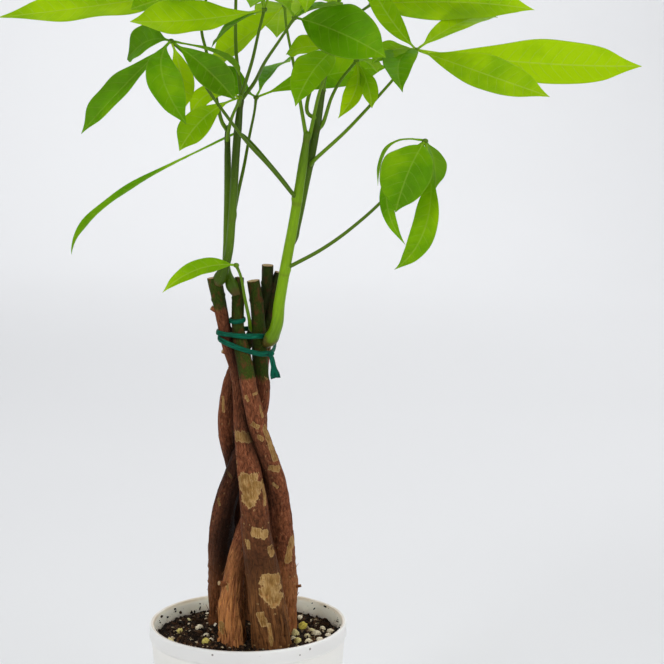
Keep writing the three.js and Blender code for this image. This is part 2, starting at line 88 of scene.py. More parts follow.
# Each stem is a list of (x, y, z, radius) in millimetres, from its cut or lower end onwards.
TRUNKS = {
    "trunk_1": [
        [-20, -3, 347, 4.9], [-18, -3, 336, 4.7], [-15, -5, 322, 4.3], [-11, -6, 303, 4.2],
        [-7, -6, 290, 4.1], [-5, -3, 277, 4.2], [-4, -5, 264, 4.5], [-3, -9, 254, 5.2],
        [-1, -13, 241, 6.3], [2, -16, 222, 7.7], [5, -18, 203, 9.1], [7, -20, 180, 9.9],
        [10, -22, 158, 11.1], [13, -23, 136, 12.2], [16, -22, 108, 13], [16, -20, 72, 11],
    ],
    "trunk_2": [
        [-4, -2, 347, 3], [-5, -4, 331, 4.2], [-5, -7, 316, 4], [-3, -9, 304, 4.8], [0, -12, 291, 5.2],
        [2, -14, 279, 5.3], [5, -15, 265, 5.7], [8, -14, 249, 6.1], [13, -11, 232, 6.6],
        [17.4, -6, 215, 7.7], [20.5, -1, 196, 7.7], [22.4, 2, 176, 8.0], [23.6, 5, 154, 8.0],
        [24, 7, 128, 8], [23, 8, 105, 8.3], [21, 8, 74, 7],
    ],
    "trunk_3": [
        [5, -4, 345, 4.1], [7, -3, 330, 4.3], [8, -2, 315, 4.5], [8.6, -1, 298, 5.1], [9.6, 0, 285, 5.0],
        [11, 0, 272, 4.5], [9, 1, 260, 4.9], [4, 3, 246, 5.2], [-4, 4, 230, 6], [-10, 6, 212, 6.8],
        [-15, 8, 194, 7.4], [-18, 12, 176, 8], [-19, 16, 156, 8.4], [-19, 21, 134, 8.5],
        [-19, 25, 108, 8.2], [-18, 24, 74, 7],
    ],
    "trunk_4": [
        [14, 4, 354, 3.8], [13, 6, 338, 3.9], [9, 9, 323, 3.9], [4, 11, 309, 3.9], [-2, 12, 298, 3.9],
        [-8, 9, 286, 3.9], [-12, 6, 272, 4.7], [-13.8, 5, 257, 5.2], [-13.8, 9, 241, 5.3],
        [-11, 15, 224, 4.8], [-7, 20, 207, 5.4], [-7, 23.5, 190, 6], [-4, 28, 168, 7.4],
        [0, 32, 142, 8.4], [3.5, 33, 108, 9], [4, 30, 74, 7],
    ],
    "trunk_5": [
        [21, 7, 349, 2.7], [17, 8, 336, 3.8], [15, 10, 321, 3.9], [12, 13, 304, 3.9], [10, 15, 287, 4],
        [8, 15, 270, 4.2], [8, 14, 253, 4.5], [8, 12, 237, 4.8], [7, 10, 222, 5.2], [5, 7, 207, 5.6],
        [3, 4, 191, 6], [-2, -1, 175, 6.5], [-7, -7, 158, 6.8], [-10.2, -13, 138, 7.3],
        [-9.6, -17, 108, 9.2], [-9.6, -16, 74, 7],
    ],
}

SHOOTS = {
    "shoot_1": [
        [-19.5, -3, 342, 3.4], [-15.5, -6.5, 348, 3.4], [-10.6, -9, 362, 2.6], [-8, -9, 385, 2.5],
        [-5, -7, 429, 2.5], [-2, -5, 462, 2.5],
    ],
    "shoot_2": [
        [-5, -4, 336, 3.2], [-8.5, -4.5, 342, 3.2], [-12, -1, 352, 2.4], [-12, 1, 371, 2.2],
        [-11, 1, 410, 2.2], [-11, 1, 444, 2],
    ],
    "shoot_3": [
        [13, -4, 304, 3], [17, -10, 309.5, 3.9], [20.5, -15, 319, 3.9], [22, -16, 332, 3.6],
        [25, -15, 350, 3.4], [31, -13, 382, 3.2], [36, -11, 413, 3], [40, -9, 441, 2.6],
    ],
    "shoot_4": [
        [29, -10, 368, 2.2], [33, -4, 381, 2.6], [38, -2, 405, 2.7], [43, -2, 429, 2.8],
        [50, 0, 468, 2.4],
    ],
}

# Small stubs left where side twigs were cut: trunk, from, to, radius.
STUBS = [
    ["trunk_2", [22, 5, 138], [35, 3, 141], 1],
    ["trunk_5", [-10, -12, 146], [-18, -18, 149], 1.6],
    ["trunk_1", [-16, -5, 324], [-22, -6, 328], 1.5],
    ["trunk_1", [-9, -5, 297], [-15, -8, 300], 1.3],
]

# The twine: two turns round the bundle, from the knot and back to it, then a short tail.
TWINE_ROUTE = [
    [16.4, -6.4, 298.4], [18.2, 0, 299.6], [19, 8, 301.6], [18.8, 14.4, 304], [15.6, 19.8, 307],
    [10, 19.6, 309], [4.6, 17.4, 310.4], [-2, 13.8, 311.2], [-8, 7.6, 311.8], [-14.8, 1.6, 312.1],
    [-18.8, -4.2, 312.1], [-17.2, -9.6, 311.9], [-10, -13.6, 311.4], [-3, -15, 310.9], [3, -13.2, 310.4],
    [9.4, -9.2, 309.9], [15.6, -2.8, 308.8], [17.9, 6, 306.6], [17.9, 13.4, 304.6], [14.8, 18.3, 303.2],
    [7, 19.2, 303], [-1, 17.6, 303.8], [-7, 11.8, 305.4], [-12, 4.7, 307.2], [-17.6, -2.8, 308.7],
    [-16.8, -9.6, 307.8], [-8.6, -14.2, 304.6], [2, -15.4, 301.2], [10, -11, 298.6], [16, -7.6, 297.8],
    [17.5, -8, 292], [18.5, -8, 286], [19.2, -8, 282.8],
]

# Each leaf's stalk, as points from its stem to the hub, and the leaflets that spread from the hub.
LEAVES = {
    "leaf_1": {
        "stalk": [
            [33, -13, 398], [28, -17, 405], [17, -24, 419], [3, -32, 435], [-9, -44, 452],
            [-21, -52, 470], [-31, -56, 487], [-41, -58, 497],
        ],
        "leaflets": [
            leaflet(201, -44, 78, 24, arch=0.03, sway=-0.05, roll=-25),
            leaflet(130, -14, 49, 26, arch=0.12, roll=-65),
            leaflet(288, -53, 60, 22, arch=0.16, sway=0.2, roll=6),
            leaflet(314, -75, 42, 15, arch=0.08, roll=30),
            leaflet(327, -36, 58, 21, arch=0.03, sway=-0.02, roll=48),
            leaflet(35, -24, 53, 12, arch=0.12, bend=0.75),
        ],
    },
    "leaf_2": {
        "stalk": [
            [32, -10, 399], [26, -4, 407], [15, 4, 420], [3, 12, 433], [-2, 16, 437], [-6, 20, 438],
        ],
        "leaflets": [
            leaflet(175, -36, 136, 13, arch=0.09, bend=0.84, roll=-25),
        ],
    },
    "leaf_3": {
        "stalk": [[3.5, -3, 313], [2.4, -8, 321], [0, -13.5, 335], [-2.4, -17.5, 350], [-5, -20, 357]],
        "leaflets": [
            leaflet(197, -18, 50, 13, arch=0.12, roll=-45, widest=0.42),
        ],
    },
    "leaf_4": {
        "stalk": [
            [26, -15, 354], [31, -17, 357], [48, -24, 367], [65, -34, 380], [87, -46, 401],
            [102, -52, 421], [112, -52, 437],
        ],
        "leaflets": [
            leaflet(225, -58, 49, 34, arch=0.12, sway=-0.06, roll=-30, widest=0.5),
            leaflet(174, -77, 81, 17, arch=-0.16, sway=-0.14, bend=0.6, roll=-69, twist=-110, widest=0.5),
            leaflet(142, -39, 46, 5, arch=0.3),
            leaflet(213, -77, 64, 9, arch=0.2, sway=0.18, roll=-40),
            leaflet(67, -57, 36, 16, arch=0.2, roll=20),
        ],
    },
    "leaf_5": {
        "stalk": [[43, -6, 421], [64, 0, 440], [85, 6, 462], [99, 9, 478], [109, 10, 491]],
        "leaflets": [
            leaflet(352, -4, 142, 31, arch=-0.02, roll=68),
            leaflet(320, -15, 105, 25, roll=55, widest=0.55),
            leaflet(39, 16, 74, 19, arch=0.08, bend=0.72, roll=30, widest=0.45),
            leaflet(148, 52, 61, 15, arch=-0.05, roll=-66, widest=0.5),
            leaflet(259, -24, 61, 22, arch=0.1, sway=0.1, roll=-5, widest=0.42),
            leaflet(226, -11, 42, 18, arch=0.1, roll=-30),
        ],
    },
    "leaf_6": {
        "stalk": [[40, -5, 452], [43, 8, 470], [52, 22, 491], [66, 34, 509], [81, 42, 520]],
        "leaflets": [
            leaflet(0, -2, 106, 35, arch=0.03, bend=0.6, roll=58, widest=0.32),
            leaflet(39, 21, 64, 26, arch=0.1),
            leaflet(323, 6, 77, 24, arch=0.14),
            leaflet(129, 28, 48, 24, arch=0.1),
            leaflet(205, 34, 34, 18, arch=0.1),
        ],
    },
    "leaf_7": {
        "stalk": [[-3, -7, 458], [1, -13, 470], [6, -20, 485], [10, -26, 501], [14, -32, 516]],
        "leaflets": [
            leaflet(201, -5, 85, 30, arch=-0.03, roll=-45),
            leaflet(147, -30, 47, 16, arch=0.08, roll=-30),
            leaflet(265, 24, 47, 26, arch=0.12),
            leaflet(124, 37, 41, 24, arch=0.12),
            leaflet(330, 44, 34, 20, arch=0.12),
        ],
    },
    "leaf_8": {
        "stalk": [[-2, -5, 459], [6, -5, 470], [14, -26, 484], [24, -44, 498], [33, -55, 511]],
        "leaflets": [
            leaflet(333, -21, 65, 36, arch=0.04, roll=58, widest=0.5),
            leaflet(35, 8, 36, 24, arch=0.1),
            leaflet(247, 5, 62, 26, arch=0.14),
            leaflet(24, 32, 43, 24, arch=0.1),
        ],
    },
    "leaf_9": {
        "stalk": [[39, -8, 438], [34, 2, 466], [30, 14, 487], [26, 24, 507], [25, 28, 519]],
        "leaflets": [
            leaflet(148, -31, 70, 34, arch=-0.02, roll=-55),
            leaflet(96, -17, 71, 34, arch=0.12),
            leaflet(50, -1, 55, 26, arch=0.1),
            leaflet(155, 22, 44, 24, arch=0.1),
            leaflet(345, 28, 34, 22, arch=0.1),
        ],
    },
    "leaf_10": {
        "stalk": [
            [-14, -4, 446], [-19, 0, 467], [-24, 4, 490], [-27, 6, 503], [-26, 6, 517], [-20, 6, 530],
        ],
        "leaflets": [
            leaflet(189, -8, 135, 32, arch=-0.01, roll=-45, widest=0.46),
            leaflet(218, -13, 62, 34, arch=0.02, roll=-45),
            leaflet(150, 4, 92, 34, arch=0.08),
            leaflet(103, 9, 87, 30, arch=0.1),
            leaflet(262, 2, 60, 26, arch=0.15),
        ],
    },
    "leaf_11": {
        "stalk": [[-7, -7, 388], [-5, 3, 399], [-1, 14, 418], [2, 26, 436], [5, 32, 451], [6, 36, 460]],
        "leaflets": [
            leaflet(17, 12, 92, 25, arch=0.04, roll=60),
            leaflet(138, 13, 46, 24, arch=0.06, roll=-55),
            leaflet(72, 18, 71, 22, arch=0.08, roll=-20),
        ],
    },
    "leaf_12": {
        "stalk": [[41, -7, 437], [47, -14, 463], [52, -22, 478], [56, -28, 491]],
        "leaflets": [
            leaflet(233, -41, 50, 25, arch=0.08, roll=-20, widest=0.4),
            leaflet(143, -4, 37, 18, arch=0.1, roll=-50),
        ],
    },
    "leaf_13": {
        "stalk": [[49, -2, 444], [55, 4, 461], [61, 10, 472], [71, 16, 484]],
        "leaflets": [
            leaflet(238, -58, 42, 14, sway=-0.15, roll=-10, widest=0.5),
            leaflet(305, -60, 34, 12, arch=0.1, roll=20),
            leaflet(46, -21, 21, 14, arch=0.16),
        ],
    },
    "leaf_14": {
        "stalk": [[-11, 0, 435], [-8, -8, 448], [-4, -14, 457], [-2, -18, 462]],
        "leaflets": [
            leaflet(222, -33, 57, 19, arch=0.1, roll=-45, widest=0.68),
            leaflet(195, -18, 33, 14, arch=0.25, roll=-50),
            leaflet(150, -12, 26, 12, arch=0.2),
        ],
    },
    "leaf_15": {
        "stalk": [[50, 0, 469], [55, -2, 491], [59, -4, 516], [61, -6, 537], [62, -8, 550]],
        "leaflets": [
            leaflet(338, -4, 58, 30, arch=0.12),
            leaflet(279, -8, 94, 30, arch=0.12),
            leaflet(256, -22, 98, 24, arch=0.1, bend=0.7),
            leaflet(182, 10, 51, 28, arch=0.12),
            leaflet(104, 8, 91, 28, arch=0.12),
            leaflet(57, 9, 70, 28, arch=0.12),
        ],
    },
    "leaf_16": {
        "stalk": [[-2, -5, 464], [-5, -1, 491], [-5, 2, 522], [-4, 4, 547], [-2, 6, 565]],
        "leaflets": [
            leaflet(196, -11, 59, 32, arch=0.12),
            leaflet(255, -9, 96, 30, arch=0.12),
            leaflet(280, -11, 99, 30, arch=0.12),
            leaflet(354, -3, 57, 30, arch=0.12),
            leaflet(80, 13, 77, 28, arch=0.12),
            leaflet(119, 8, 74, 28, arch=0.12),
        ],
    },
}

# The loose turn of twine and the knot of the tie.
UPPER_TURN = {"centre": (-5.3, -6.2, 320.0), "radius": 5.5}
KNOT = {"centre": (16.0, -7.4, 298.0), "scale": 0.58}

# Where the outer bark has come off in front: x, z to x, z and the half width of the bare place.
PEELED = {
    "trunk_1": [
        (-5.5, 246, 1.5, 245.5, 3.4), (-1.5, 221, 5.6, 221, 2.6), (-1.2, 216, 5.2, 214.5, 5.0),
        (2.0, 213, 4.6, 209, 3.6), (0.0, 208, 2.4, 205, 3.4), (11.2, 218, 12.2, 203, 1.0),
        (-6.4, 233, -5.6, 208, 1.0), (6.2, 186, 11.2, 184, 3.2), (0.4, 179, 1.2, 176, 1.8),
        (16.2, 174.5, 17.2, 171.5, 2.2), (12.0, 157, 20.0, 155, 3.0), (15.0, 153, 18.0, 149, 4.2),
        (14.0, 148, 18.0, 143, 5.2), (9.8, 132, 11.5, 127, 3.0), (15, 126, 16.5, 113, 1.3),
    ],
    "trunk_2": [
        (0.6, 272.5, 1.6, 270.0, 1.0), (5.6, 274, 7.6, 274.6, 0.9), (9.6, 266, 11.2, 259, 0.8),
        (5.0, 254.5, 7.6, 253.2, 1.8), (8.8, 246.2, 10.4, 245.2, 1.7), (13.0, 252, 19.0, 231, 1.9),
        (16.2, 225, 19.6, 224, 2.0), (17.6, 213.5, 20.0, 211.5, 1.2), (29.6, 208, 30.2, 202, 0.8),
        (31.6, 190, 31.8, 176, 1.5), (29.8, 174, 26.4, 160, 2.2), (7.4, 289.5, 6.0, 286.6, 1.0),
    ],
    "trunk_3": [(-13.5, 219, -10.5, 215, 0.9), (-19.5, 200, -18.4, 196, 0.8), (12.0, 284, 13.4, 282, 1.2)],
    "trunk_4": [(-9.0, 276, -8.2, 271.5, 1.2), (-15.6, 268, -15.2, 259, 1.0)],
    "trunk_5": [(-16.6, 123, -15.8, 117, 1.2), (-13.2, 148, -12.2, 145, 0.9)],
}

# The height above which the bark is still green, and how far the change is drawn out.
GREEN_FROM = {
    "trunk_1": (327, 4), "trunk_2": (284, 3), "trunk_3": (281, 4), "trunk_4": (296, 8),
    "trunk_5": (300, 9),
}

# How far the bark of each trunk is worn to orange fibres near the soil.
FIBROUS = {"trunk_1": 0.32, "trunk_2": 0.5, "trunk_3": 0.2, "trunk_4": 0.3, "trunk_5": 1.0}

# How dull and dark the bark of each trunk is below the middle.
DULL = {"trunk_1": 1.0, "trunk_2": 0.1, "trunk_3": 0.55, "trunk_4": 0.6, "trunk_5": 0.0}

# How near its neighbour the painted shade of each trunk is darkest, and from where it isn't
# darkened: low down for each, then high up for all.
SHADE_REACH = {
    "trunk_1": (-3, 9), "trunk_2": (-2, 13), "trunk_3": (9, 23), "trunk_4": (-1, 16),
    "trunk_5": (-3, 12),
}
UPPER_SHADE_REACH = (-3, 12)

# Heights between which the marks of the lower trunks give way, and between which strips are torn.
SHADE_CHANGE = (215, 255)
FIBROUS_END = (128, 182)
DULL_END = (150, 240)
TORN_END = (122, 172)
SHRED_HEIGHTS = (112, 176)

# How bright each shoot and leaflet looks, from 0, deep green, to 1, bright yellow-green: partly
# its own freshness and partly painted light and shade, brighter where light shines through it and
# darker where it lies in shade.
SHOOT_TONE_AND_LIGHT = {"shoot_1": 0.35, "shoot_2": 0.4, "shoot_3": 0.85, "shoot_4": 0.45}
LEAF_TONE_AND_LIGHT = {
    "leaf_1": (0.45, 0.35, 0.45, 0.9, 0.35, 0.5), "leaf_2": (0.55,), "leaf_3": (0.7,),
    "leaf_4": (0.55, 0.6, 0.55, 0.55, 0.5), "leaf_5": (1.0, 0.82, 0.85, 0.8, 0.5, 0.7),
    "leaf_6": (0.85, 0.6, 0.75, 0.7, 0.7), "leaf_7": (0.85, 0.4, 0.6, 0.7, 0.7),
    "leaf_8": (0.5, 0.6, 0.6, 0.7), "leaf_9": (1.0, 0.8, 0.9, 0.7, 0.7),
    "leaf_10": (0.8, 0.7, 0.7, 0.7, 0.8), "leaf_11": (0.6, 0.45, 0.55), "leaf_12": (0.7, 0.85),
    "leaf_13": (0.85, 0.75, 0.7), "leaf_14": (0.85, 0.9, 0.7), "leaf_15": (0.7,) * 6,
    "leaf_16": (0.75,) * 6,
}

# Pebbles that lie in plain sight: (x, y, radius, how yellow they are).
PEBBLES = [
    (35.6, 13, 4.2, 1.0), (30.5, 2, 3.4, 0.6), (27, 20, 2.8, 0.3), (39, -5, 3.2, 0.4),
    (45, -1, 3.4, 0.1), (47.5, -15, 3.6, 0.0), (40, -17, 2.8, 0.2), (33, -17, 3.0, 0.7),
    (30, -8, 2.6, 0.3), (53, -4, 3.0, 0.0), (54.5, 5, 2.6, 0.1), (49, 12, 2.4, 0.2),
    (34, -27, 2.4, 0.2), (42, 10, 2.6, 0.5), (27, -33, 2.2, 0.1), (-50, -17, 3.0, 0.6),
    (-46, 8, 2.4, 0.8), (-33, 12, 2.6, 0.1), (-28, -3, 2.9, 0.1), (-27, -15, 3.1, 0.9),
    (-22, 18, 2.4, 0.0), (-24, -9, 2.0, 0.1), (-3, -48, 3.0, 0.8), (-12, -44, 2.0, 0.1),
    (2, -38, 2.0, 0.0), (-36, -24, 2.0, 0.2), (-14, -34, 1.8, 0.3), (20, -46, 2.2, 0.2),
    (10, -42, 1.7, 0.0), (-20, 40, 2.8, 0.3), (12, 46, 3.0, 0.6), (34, 36, 2.7, 0.1),
    (-42, 30, 2.5, 0.5), (0, 52, 2.4, 0.1), (-30, 44, 2.1, 0.0),
]

# Dirt specks on the outside of the pot: place, size.
DIRT = [((-19.8, -61.8, 115.3), 0.9), ((41.4, -50.0, 115.2), 1.1), ((35.1, -54.6, 112.8), 0.7)]

# How the side veins leave the midrib, for the shape of a blade and for its colours: how far they
# lean back for each millimetre across, and how that grows.
VEIN_LEAN = 0.55
VEIN_CURVE = 0.018

# The stage, in metres: each light's place, its width and what it faces.
LIGHTS = {
    "key": ((-1.6, -1.8, 2.2), 1.3, (0.0, 0.0, 0.3)),
    "fill": ((2.0, -1.9, 1.5), 1.8, (0.0, 0.0, 0.3)),
    "back": ((0.6, 1.6, 2.4), 1.8, (0.0, 0.0, 0.3)),
    "wall": ((-0.1, 3.1, 2.0), 2.0, (-0.1, 4.7, 0.6)),
}
BACKDROP_FLAT = 2.8  # radius of the level floor
BACKDROP_BEND = 2.0  # radius of the curve from floor to wall
BACKDROP_TOP = 4.2
CAMERA_PLACE = (0.0554, -1.2097, 0.506)
CAMERA_TILT = 80.85  # degrees up from straight down
SENSOR_WIDTH = 36.0  # millimetres
PICTURE_WIDTH = 664  # pixels
FOCAL_LENGTH = 1900  # pixels


# ---------------------------------------------------------------- numbers on whole arrays

def smooth(value, low, high):
    """0 below low and 1 above high, joined by the curve 3t^2 - 2t^3."""
    t = np.clip((value - low) / (high - low), 0.0, 1.0)
    return t * t * (3 - 2 * t)


def hashed(cells, seed):
    """Evenly spread numbers from 0 to 1, one for each whole-number cell and seed."""
    mixed = cells @ np.array([374761393, 668265263, 1442695041]) + seed * 974634777
    mixed &= 0xFFFFFFFF
    mixed = ((mixed ^ (mixed >> 13)) * 1274126177) & 0xFFFFFFFF
    return ((mixed ^ (mixed >> 16)) & 0xFFFFFF) / 0xFFFFFF


def noise(points, size, seed=0):
    """Smooth random numbers from -1 to 1: hashed numbers at the corners of cells of the given size,
    blended by the curve 3t^2 - 2t^3 along each axis."""
    scaled = points / np.asarray(size, float)
    cell = np.floor(scaled).astype(np.int64)
    t = scaled - cell
    t = t * t * (3 - 2 * t)
    total = np.zeros(scaled.shape[:-1])
    for corner in np.ndindex(2, 2, 2):
        corner = np.array(corner)
        weight = np.prod(np.where(corner, t, 1 - t), axis=-1)
        total += weight * hashed(cell + corner, seed)
    return 2 * total - 1


def rough_noise(points, size, octaves, seed=0):
    """A sum of noises, each half the size and half the height of the one before, over 1.6."""
    size = np.asarray(size, float)
    return sum(noise(points, size / 2 ** k, seed + k) / 2 ** k for k in range(octaves)) / 1.6


def unit(vectors):
    """The vectors brought to length 1."""
    return vectors / np.linalg.norm(vectors, axis=-1, keepdims=True).clip(1e-12)


def bell(value, width):
    """1 where the value is 0, falling to both sides as e^-(v/w)^2."""
    return np.exp(-(value / width) ** 2)


def through(points, rows):
    """A smooth curve through the points: centripetal Catmull-Rom spans, each a cubic whose end
    slopes come from the square roots of its neighbours' lengths, walked along in equal steps.
    Returns the places, the directions, how far down the list each lies, and the length so far."""
    p = np.asarray(points, float)[:, :3]
    wide = np.vstack([2 * p[0] - p[1], p, 2 * p[-1] - p[-2]])
    knot = np.sqrt(np.linalg.norm(np.diff(wide, axis=0), axis=1)).clip(1e-3)

    def at(place):
        i = np.minimum(place.astype(int), len(p) - 2)
        t = (place - i)[:, None]
        p0, p1, p2, p3 = wide[i], wide[i + 1], wide[i + 2], wide[i + 3]
        d0, d1, d2 = knot[i][:, None], knot[i + 1][:, None], knot[i + 2][:, None]
        m1 = ((p1 - p0) / d0 - (p2 - p0) / (d0 + d1) + (p2 - p1) / d1) * d1
        m2 = ((p2 - p1) / d1 - (p3 - p1) / (d1 + d2) + (p3 - p2) / d2) * d1
        return (p1 + m1 * t + (3 * (p2 - p1) - 2 * m1 - m2) * t ** 2
                + (2 * (p1 - p2) + m1 + m2) * t ** 3)

    place = np.linspace(0, len(p) - 1, 60 * len(p))
    length = np.r_[0, np.cumsum(np.linalg.norm(np.diff(at(place), axis=0), axis=1))]
    walked = np.linspace(0, length[-1], rows)
    place = np.interp(walked, length, place)
    centre = at(place)
    return centre, unit(np.gradient(centre, axis=0)), place, walked


def across(along, reference):
    """Two directions square to the path: one square to the reference too, one nearest to it."""
    side = unit(np.cross(along, np.broadcast_to(reference, along.shape)))
    return side, np.cross(side, along)


def around(columns):
    """Angles of the columns of a closed ring, in radians."""
    return np.linspace(0, 2 * math.pi, columns, endpoint=False)


def ring_directions(angle, side, back):
    """Unit directions from a path to the rings round it: side cos a + back sin a."""
    return np.cos(angle)[..., None] * side[:, None] + np.sin(angle)[..., None] * back[:, None]


def grain_round(size, angle, run):
    """Grain that follows a stem: size cos a, size sin a and the distance run along it."""
    return np.stack([size * np.cos(angle) + 0 * run, size * np.sin(angle) + 0 * run,
                     run + 0 * angle], -1)


def route_length(route):
    """Length of the straight lines from point to point."""
    return np.linalg.norm(np.diff(route[:, :3], axis=0), axis=1).sum()


def stem_path(route, step):
    """A stem's middle line in steps of about the given length: the places, the directions, the
    length so far and the radii, which change evenly from point to point of the route."""
    centre, along, place, walked = through(route, int(route_length(route) / step))
    radius = np.interp(place, np.arange(len(route)), route[:, 3])[:, None]
    return centre, along, walked[:, None], radius


# ---------------------------------------------------------------- surfaces and meshes

def ring_faces(rows, columns):
    """Quads that join each ring of points to the next; the last column joins the first."""
    row, column = np.meshgrid(np.arange(rows - 1), np.arange(columns), indexing="ij")
    here, there = row * columns + column, row * columns + (column + 1) % columns
    return np.stack([here, there, there + columns, here + columns], -1).reshape(-1, 4)


def fan_faces(ring, pole, flip):
    """Triangles that close a ring of points on one pole."""
    turned = np.roll(ring, -1)
    fan = np.stack([ring, turned, np.full(len(ring), pole)], -1)
    return fan[:, ::-1] if flip else fan


def volume(points, triangles):
    """Signed volume inside the triangles: a sixth of the sum of the corners' triple products."""
    a, b, c = (points[triangles[:, k]] for k in range(3))
    return np.einsum("ij,ij->i", a, np.cross(b, c)).sum() / 6


def spread(value, rows, columns):
    """A row of numbers for each point of a grid, from one number or from an array over the grid."""
    if np.ndim(value):
        width = np.shape(value)[-1]
        return np.broadcast_to(value, (rows, columns, width)).reshape(rows * columns, width)
    return np.full((rows * columns, 1), float(value))


def closed_tube(grid, poles=None, material=0, **values):
    """A closed surface from a grid of rings (rows, columns, 3): quads between the rings and a fan of
    triangles on a pole at each end, which is the end ring's middle unless given. Values hold one
    number or vector for each grid point; a pole takes the mean of its ring."""
    rows, columns = grid.shape[:2]
    ends = (grid[0].mean(0), grid[-1].mean(0)) if poles is None else poles
    points = np.vstack([grid.reshape(-1, 3), *np.atleast_2d(ends[0]), *np.atleast_2d(ends[1])])
    quads = ring_faces(rows, columns)
    count = rows * columns
    first = fan_faces(np.arange(columns), count, True)
    last = fan_faces(np.arange(count - columns, count), count + 1, False)
    triangles = np.vstack([first, last])
    halves = np.vstack([quads[:, :3], quads[:, [0, 2, 3]], triangles])
    if volume(points - points.mean(0), halves) < 0:
        quads, triangles = quads[:, ::-1], triangles[:, ::-1]
    kept = {}
    for name, value in values.items():
        value = spread(value, rows, columns)
        kept[name] = np.vstack([value, value[:columns].mean(0), value[-columns:].mean(0)])
    return {"points": points, "quads": quads, "triangles": triangles, "material": material,
            "flat": False, "values": kept}


def closed_loop(grid, **values):
    """A ring-shaped surface from a grid of rings (rows, columns, 3) whose last ring joins the first."""
    rows, columns = grid.shape[:2]
    count = rows * columns
    wrapped = ring_faces(rows + 1, columns) % count
    points = grid.reshape(-1, 3)
    if volume(points, np.vstack([wrapped[:, :3], wrapped[:, [0, 2, 3]]])) < 0:
        wrapped = wrapped[:, ::-1]
    kept = {name: spread(value, rows, columns) for name, value in values.items()}
    return {"points": points, "quads": wrapped, "triangles": np.zeros((0, 3), int),
            "material": 0, "flat": False, "values": kept}


# What a point attribute is, by how many numbers it holds.
ATTRIBUTE_KINDS = {1: ("FLOAT", "value"), 3: ("FLOAT_VECTOR", "vector"), 4: ("FLOAT_COLOR", "color")}


def make_piece(name, shapes, materials, node):
    """Puts the shapes (in millimetres) into one mesh at the origin, with their values as point
    attributes, and gives it its materials, its body and the solid that it stands for."""
    points, quads, triangles, quad_use, triangle_use = [], [], [], [], []
    start = 0
    names = sorted({key for shape in shapes for key in shape["values"]})
    columns = {key: [] for key in names}
    width = {key: shape["values"][key].shape[1] for shape in shapes for key in shape["values"]}
    for shape in shapes:
        count = len(shape["points"])
        points.append(shape["points"])
        quads.append(shape["quads"] + start)
        triangles.append(shape["triangles"] + start)
        use = [shape["material"], not shape["flat"]]
        quad_use.append(np.tile(use, (len(shape["quads"]), 1)))
        triangle_use.append(np.tile(use, (len(shape["triangles"]), 1)))
        for key in names:
            columns[key].append(shape["values"].get(key, np.zeros((count, width[key]))))
        start += count
    mesh = bpy.data.meshes.new(name)
    faces = np.vstack(quads).tolist() + np.vstack(triangles).tolist()
    mesh.from_pydata(np.vstack(points) * MM, [], faces)
    use = np.vstack(quad_use + triangle_use)
    for material in materials:
        mesh.materials.append(material)
    mesh.polygons.foreach_set("material_index", use[:, 0].astype(np.int32))
    mesh.polygons.foreach_set("use_smooth", use[:, 1].astype(bool))
    for key in names:
        kind, field = ATTRIBUTE_KINDS[width[key]]
        attribute = mesh.attributes.new(key, kind, "POINT")
        attribute.data.foreach_set(field, np.vstack(columns[key]).astype(np.float32).ravel())
    mesh.update()
    if mesh.validate(verbose=False):
        raise RuntimeError(f"{name}: the mesh held faces that don't close")
    made = bpy.data.objects.new(name, mesh)
    bpy.context.scene.collection.objects.link(made)
    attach(made, BODY)
    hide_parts(node)


def rounded(corners, radii, step):
    """A profile through the corners with each one rounded: a parabola from a point before it to a
    point after it, both at its radius, and straight runs between, with a point at every step and
    one close to each end."""
    corners = np.asarray(corners, float)
    shortest = 0.4
    line = [corners[:1]]
    for before, corner, after, radius in zip(corners, corners[1:], corners[2:], radii):
        start = corner + unit(before - corner) * radius
        end = corner + unit(after - corner) * radius
        t = np.linspace(0, 1, 7)[:, None]
        bend = (1 - t) ** 2 * start + 2 * t * (1 - t) * corner + t ** 2 * end
        line.append(bend)
    line.append(corners[-1:])
    filled = [line[0]]
    for piece in line[1:]:
        gap = np.linalg.norm(piece[0] - filled[-1][-1])
        first = shortest / max(gap, 1)
        even = np.linspace(0, 1, max(2, int(gap / step) + 1))
        share = np.unique(np.r_[first, even, 1 - first])[1:-1]
        filled.append(filled[-1][-1] + share[:, None] * (piece[0] - filled[-1][-1]))
        filled.append(piece)
    return np.vstack(filled)


def lathe(profile, columns):
    """The profile's (radius, height) points carried once round the upright axis: x = r cos a,
    y = r sin a, z = height."""
    angle = around(columns)
    radius, height = profile[:, :1], profile[:, 1:]
    return np.stack([radius * np.cos(angle), radius * np.sin(angle), height + 0 * angle], -1)


def inside_radius(height):
    """Radius of the pot's inside: the wall leans evenly from the foot to the rim, then stands."""
    wall = POT["rim_radius"] - POT["rim_lip"]
    share = np.clip(height / (POT["height"] - POT["rim_height"]), None, 1)
    return POT["foot_radius"] + (wall - POT["foot_radius"]) * share - POT["wall"]


def soil_height(x, y):
    """Height of the soil: three crossing waves round its level."""
    lumps = np.sin(x * 0.31 + 1) * np.cos(y * 0.27) + np.sin(x * 0.13 - y * 0.17) \
        + 0.6 * np.sin(x * 0.47 + y * 0.41)
    return SOIL_LEVEL + SOIL_LUMP * lumps / 2


# ---------------------------------------------------------------- pot

